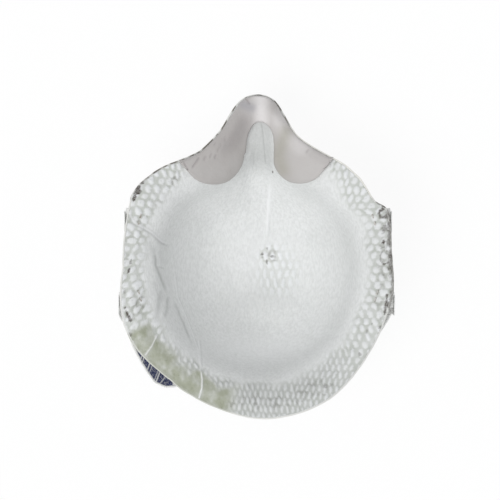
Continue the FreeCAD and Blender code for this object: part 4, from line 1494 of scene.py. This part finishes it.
finishSet = {
    "lining": (0.800, 0.808, 0.806),
    "liningCloud": (0.77, 0.785, 0.77),
    "speckle": (0.63, 0.64, 0.63),
    # white of the cell tops, also their painted highlight
    "white": (0.870, 0.885, 0.905),
    "groove": (0.500, 0.525, 0.470),
    "film": (0.392, 0.410, 0.322),
    "mould": (0.25, 0.27, 0.19),
    "dirt": (0.064, 0.050, 0.037),
    "shade": (0.420, 0.430, 0.420),
    "light": (0.900, 0.905, 0.910),
    "web": (0.760, 0.770, 0.760),
    "webCloud": (0.70, 0.71, 0.69),
    "felt": (0.70, 0.71, 0.70),
    "feltCloud": (0.64, 0.65, 0.63),
    "net": (0.780, 0.785, 0.770),
    "netCloud": (0.70, 0.705, 0.675),
    "grime": (0.42, 0.42, 0.36),
    "edge": (0.700, 0.700, 0.670),
    "edgeCloud": (0.80, 0.80, 0.78),
    "cream": (0.900, 0.885, 0.830),
    "soot": (0.170, 0.155, 0.130),
    "foam": (0.485, 0.462, 0.448),
    "foamCloud": (0.525, 0.510, 0.500),
    "pore": (0.40, 0.36, 0.345),
    "fleck": (0.30, 0.28, 0.27),
    # painted light on the foam, and its pale tip
    "paleAndLit": (0.740, 0.715, 0.710),
    "olive": (0.430, 0.415, 0.365),
    "smudge": (0.400, 0.390, 0.410),
    # painted shade on the foam
    "foamShade": (0.300, 0.270, 0.275),
    "elastic": (0.840, 0.840, 0.825),
    "knit": (0.70, 0.70, 0.685),
    "ink": (0.040, 0.050, 0.130),
    "steel": (0.55, 0.54, 0.52),
    "wornSteel": (0.36, 0.33, 0.29),
}
knitSet = {"along": 0.75 * mm, "across": 0.70 * mm}


def startFinish(name, roughness, specular):
    finish = bpy.data.materials.new(name)
    finish.use_nodes = True
    shader = finish.node_tree.nodes["Principled BSDF"]
    shader.inputs["Roughness"].default_value = roughness
    shader.inputs["Specular IOR Level"].default_value = specular
    return finish, finish.node_tree, shader


def addNode(tree, kind, settings=None, links=None, values=None):
    node = tree.nodes.new(kind)
    for name, value in (settings or {}).items():
        setattr(node, name, value)
    for name, value in (values or {}).items():
        node.inputs[name].default_value = value
    for name, source in (links or {}).items():
        tree.links.new(source, node.inputs[name])
    return node


def painted(tree, name):
    return addNode(tree, "ShaderNodeAttribute", {"attribute_name": name}).outputs["Fac"]


def calculate(tree, operation, first, second):
    node = addNode(tree, "ShaderNodeMath", {"operation": operation})
    for socket, value in zip(node.inputs, (first, second)):
        if isinstance(value, (int, float)):
            socket.default_value = value
        else:
            tree.links.new(value, socket)
    return node.outputs[0]


def blendColour(tree, share, base, over, part=1.0):
    # lays one colour over another as strongly as share says, or by a part of that
    if part != 1.0:
        share = calculate(tree, "MULTIPLY", share, part)
    node = addNode(tree, "ShaderNodeMix", {"data_type": "RGBA"})
    tree.links.new(share, node.inputs["Factor"])
    for socket, value in ((node.inputs[6], base), (node.inputs[7], over)):
        if isinstance(value, tuple):
            socket.default_value = (*value, 1)
        else:
            tree.links.new(value, socket)
    return node.outputs[2]


def coverPainted(tree, colour, names):
    # lays the colours of painted marks over one another
    for name in names:
        colour = blendColour(tree, painted(tree, name), colour, finishSet[name])
    return colour


def spread(tree, value, low, high, toLow=0.0, toHigh=1.0):
    node = addNode(tree, "ShaderNodeMapRange", None, {"Value": value})
    for name, amount in (("From Min", low), ("From Max", high), ("To Min", toLow), ("To Max", toHigh)):
        node.inputs[name].default_value = amount
    return node.outputs[0]


def noiseOf(tree, scale, detail=2.0, stretched=(1, 1, 1), turn=0.0):
    place = addNode(tree, "ShaderNodeTexCoord").outputs["Object"]
    if stretched != (1, 1, 1) or turn:
        values = {"Scale": stretched, "Rotation": (0, 0, math.radians(turn))}
        place = addNode(tree, "ShaderNodeMapping", None, {"Vector": place}, values).outputs[0]
    values = {"Scale": scale, "Detail": detail}
    return addNode(tree, "ShaderNodeTexNoise", None, {"Vector": place}, values).outputs["Fac"]


def fibresOf(tree, scale, turns):
    # thin fibres that lie in several directions, from 0 to 1
    fibres = None
    for turn in turns:
        strands = spread(tree, noiseOf(tree, scale, 1.0, (1, 0.12, 1), turn), 0.56, 0.70)
        fibres = strands if fibres is None else calculate(tree, "MAXIMUM", fibres, strands)
    return fibres


def addBump(tree, shader, height, distance, strength=1.0):
    values = {"Distance": distance, "Strength": strength}
    bump = addNode(tree, "ShaderNodeBump", None, {"Height": height}, values)
    tree.links.new(bump.outputs[0], shader.inputs["Normal"])


def addDirt(tree, colour, noiseScale, low):
    # dirt in fine grains
    grain = spread(tree, noiseOf(tree, noiseScale, 2.0), low, 0.62, 0.5, 1.0)
    dirt = calculate(tree, "MULTIPLY", painted(tree, "dirt"), grain)
    return blendColour(tree, dirt, colour, finishSet["dirt"])


def liningFinish():
    finish, tree, shader = startFinish("pressedNonwoven", 0.92, 0.15)
    fibres = fibresOf(tree, 2600, (12, 74, 131))
    speckle = spread(tree, noiseOf(tree, 900, 3.0, (1, 0.55, 1)), 0.36, 0.64)
    cloud = spread(tree, noiseOf(tree, 90, 3.0), 0.3, 0.7)
    colour = blendColour(tree, cloud, finishSet["lining"], finishSet["liningCloud"], 0.5)
    colour = blendColour(tree, speckle, colour, finishSet["speckle"], 0.50)
    colour = blendColour(tree, fibres, colour, finishSet["light"], 0.30)
    # white cell tops, partly a painted highlight
    colour = coverPainted(tree, colour, ["white"])
    colour = blendColour(tree, painted(tree, "groove"), colour, finishSet["groove"], 0.80)
    patchy = spread(tree, noiseOf(tree, 210, 4.0), 0.34, 0.62, 0.56, 1.0)
    film = calculate(tree, "MULTIPLY", painted(tree, "film"), patchy)
    colour = blendColour(tree, film, colour, finishSet["film"])
    mould = calculate(tree, "MULTIPLY", film, spread(tree, noiseOf(tree, 620, 3.0), 0.58, 0.70, 0.0, 0.45))
    colour = blendColour(tree, mould, colour, finishSet["mould"])
    colour = coverPainted(tree, colour, ["shade", "light"])
    tree.links.new(addDirt(tree, colour, 1800, 0.30), shader.inputs["Base Color"])
    height = calculate(tree, "ADD", fibres, calculate(tree, "MULTIPLY", speckle, 0.8))
    addBump(tree, shader, height, 0.06 * mm, 0.6)
    return finish


def clothFinish(name, slot, fibreScale):
    finish, tree, shader = startFinish(name, 0.95, 0.1)
    fibres = fibresOf(tree, fibreScale, (5, 63, 118))
    cloud = spread(tree, noiseOf(tree, 160, 3.0), 0.3, 0.7)
    colour = blendColour(tree, cloud, finishSet[slot], finishSet[slot + "Cloud"], 0.6)
    colour = blendColour(tree, fibres, colour, finishSet["light"], 0.35)
    tree.links.new(colour, shader.inputs["Base Color"])
    addBump(tree, shader, fibres, 0.08 * mm, 0.6)
    return finish


def netFinish():
    finish, tree, shader = startFinish("mattWhitePlastic", 0.55, 0.4)
    cloud = spread(tree, noiseOf(tree, 140, 3.0), 0.3, 0.75)
    colour = blendColour(tree, cloud, finishSet["net"], finishSet["netCloud"], 0.5)
    grime = spread(tree, noiseOf(tree, 700, 4.0), 0.62, 0.75, 0.0, 0.35)
    colour = blendColour(tree, grime, colour, finishSet["grime"])
    tree.links.new(colour, shader.inputs["Base Color"])
    addBump(tree, shader, noiseOf(tree, 1200, 2.0), 0.03 * mm, 0.4)
    return finish


def edgeFinish():
    finish, tree, shader = startFinish("meltedEdge", 0.5, 0.4)
    cloud = spread(tree, noiseOf(tree, 220, 3.0), 0.35, 0.65)
    colour = blendColour(tree, cloud, finishSet["edge"], finishSet["edgeCloud"], 0.5)
    colour = coverPainted(tree, colour, ["cream", "soot"])
    colour = blendColour(tree, painted(tree, "film"), colour, finishSet["film"], 0.5)
    tree.links.new(addDirt(tree, colour, 1400, 0.3), shader.inputs["Base Color"])
    addBump(tree, shader, noiseOf(tree, 900, 2.0), 0.08 * mm, 0.5)
    return finish


def foamFinish():
    finish, tree, shader = startFinish("greyFoam", 0.95, 0.1)
    place = addNode(tree, "ShaderNodeTexCoord").outputs["Object"]
    bubbles = addNode(tree, "ShaderNodeTexVoronoi", None, {"Vector": place}, {"Scale": 2600.0})
    pores = spread(tree, bubbles.outputs["Distance"], 0.0, 0.5)
    cloud = spread(tree, noiseOf(tree, 120, 3.0), 0.3, 0.7)
    colour = blendColour(tree, cloud, finishSet["foam"], finishSet["foamCloud"], 0.5)
    # pale tip and painted light, olive and smudged stains, and painted shade
    colour = coverPainted(tree, colour, ["paleAndLit", "olive", "smudge", "foamShade"])
    hollow = spread(tree, pores, 0.0, 0.35, 0.35, 0.0)
    colour = blendColour(tree, hollow, colour, finishSet["pore"])
    flecks = spread(tree, noiseOf(tree, 900, 2.0), 0.70, 0.76, 0.0, 0.35)
    colour = blendColour(tree, flecks, colour, finishSet["fleck"])
    tree.links.new(colour, shader.inputs["Base Color"])
    addBump(tree, shader, pores, 0.10 * mm, 0.5)
    return finish


def elasticFinish():
    finish, tree, shader = startFinish("ribbedElastic", 0.85, 0.2)
    run = calculate(tree, "MULTIPLY", painted(tree, "run"), 2 * math.pi / knitSet["along"])
    across = calculate(tree, "MULTIPLY", painted(tree, "across"), 2 * math.pi / knitSet["across"])
    knit = calculate(tree, "SINE", calculate(tree, "ADD", run, across), 0.0)
    knot = calculate(tree, "SINE", calculate(tree, "SUBTRACT", run, across), 0.0)
    knit = spread(tree, calculate(tree, "ADD", knit, knot), -2.0, 2.0)
    colour = blendColour(tree, knit, finishSet["knit"], finishSet["elastic"])
    uneven = spread(tree, noiseOf(tree, 1600, 3.0), 0.30, 0.50, 0.35, 1.0)
    ink = calculate(tree, "MULTIPLY", painted(tree, "ink"), uneven)
    colour = blendColour(tree, ink, colour, finishSet["ink"])
    tree.links.new(colour, shader.inputs["Base Color"])
    addBump(tree, shader, knit, 0.10 * mm, 0.8)
    return finish


def steelFinish():
    finish, tree, shader = startFinish("stapleSteel", 0.35, 0.5)
    shader.inputs["Metallic"].default_value = 1.0
    worn = spread(tree, noiseOf(tree, 900, 3.0), 0.45, 0.65)
    colour = blendColour(tree, worn, finishSet["steel"], finishSet["wornSteel"])
    tree.links.new(colour, shader.inputs["Base Color"])
    tree.links.new(spread(tree, worn, 0.0, 1.0, 0.28, 0.55), shader.inputs["Roughness"])
    addBump(tree, shader, noiseOf(tree, 2500, 1.0), 0.02 * mm, 0.3)
    return finish


def dress(piece, finish, body):
    piece.data.materials.clear()
    piece.data.materials.append(finish)
    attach(piece, body)


def dressStaple(node, finish):
    # the solid itself is shown, with its wire rounded
    staple = frame["nodes"][node]
    for slot in staple.material_slots:
        slot.material = finish
    rounding = staple.modifiers.new("roundedWire", "BEVEL")
    rounding.width = 0.12 * mm
    rounding.segments = 2
    rounding.limit_method = "ANGLE"


lining = makeLining()
dress(lining, liningFinish(), "mask")
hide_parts("inner_lining")
print("lining pressed:", len(lining.data.polygons), "faces")

web = makeCoverWeb()
dress(web, clothFinish("coverNonwoven", "web", 1900), "mask")
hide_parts("cover_web")
felt = makeFelt()
dress(felt, clothFinish("needledFelt", "felt", 1300), "mask")
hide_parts("filter_felt")
print("web and felt laid in")

net = makeNet()
dress(net, netFinish(), "mask")
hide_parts("net_shell")
print("net moulded:", len(net.data.polygons), "faces")

edge = makeEdge()
dress(edge, edgeFinish(), "mask")
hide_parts("edge_seal")

foam = makeFoam()
dress(foam, foamFinish(), "mask")
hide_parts("nose_cushion")
print("edge and foam made")

elastic = elasticFinish()
steel = steelFinish()
for strapBody, place in (("upper_strap", "upper"), ("lower_strap", "lower")):
    dress(makeStrap(strapBody), elastic, strapBody)
    for sideName, side in (("right", 1), ("left", -1)):
        corner = place + "_" + sideName
        dress(makeStrapEnd(corner, strapBody, side), elastic, "mask")
        dressStaple("staple_" + corner, steel)
print("straps and staples made")

layTable()
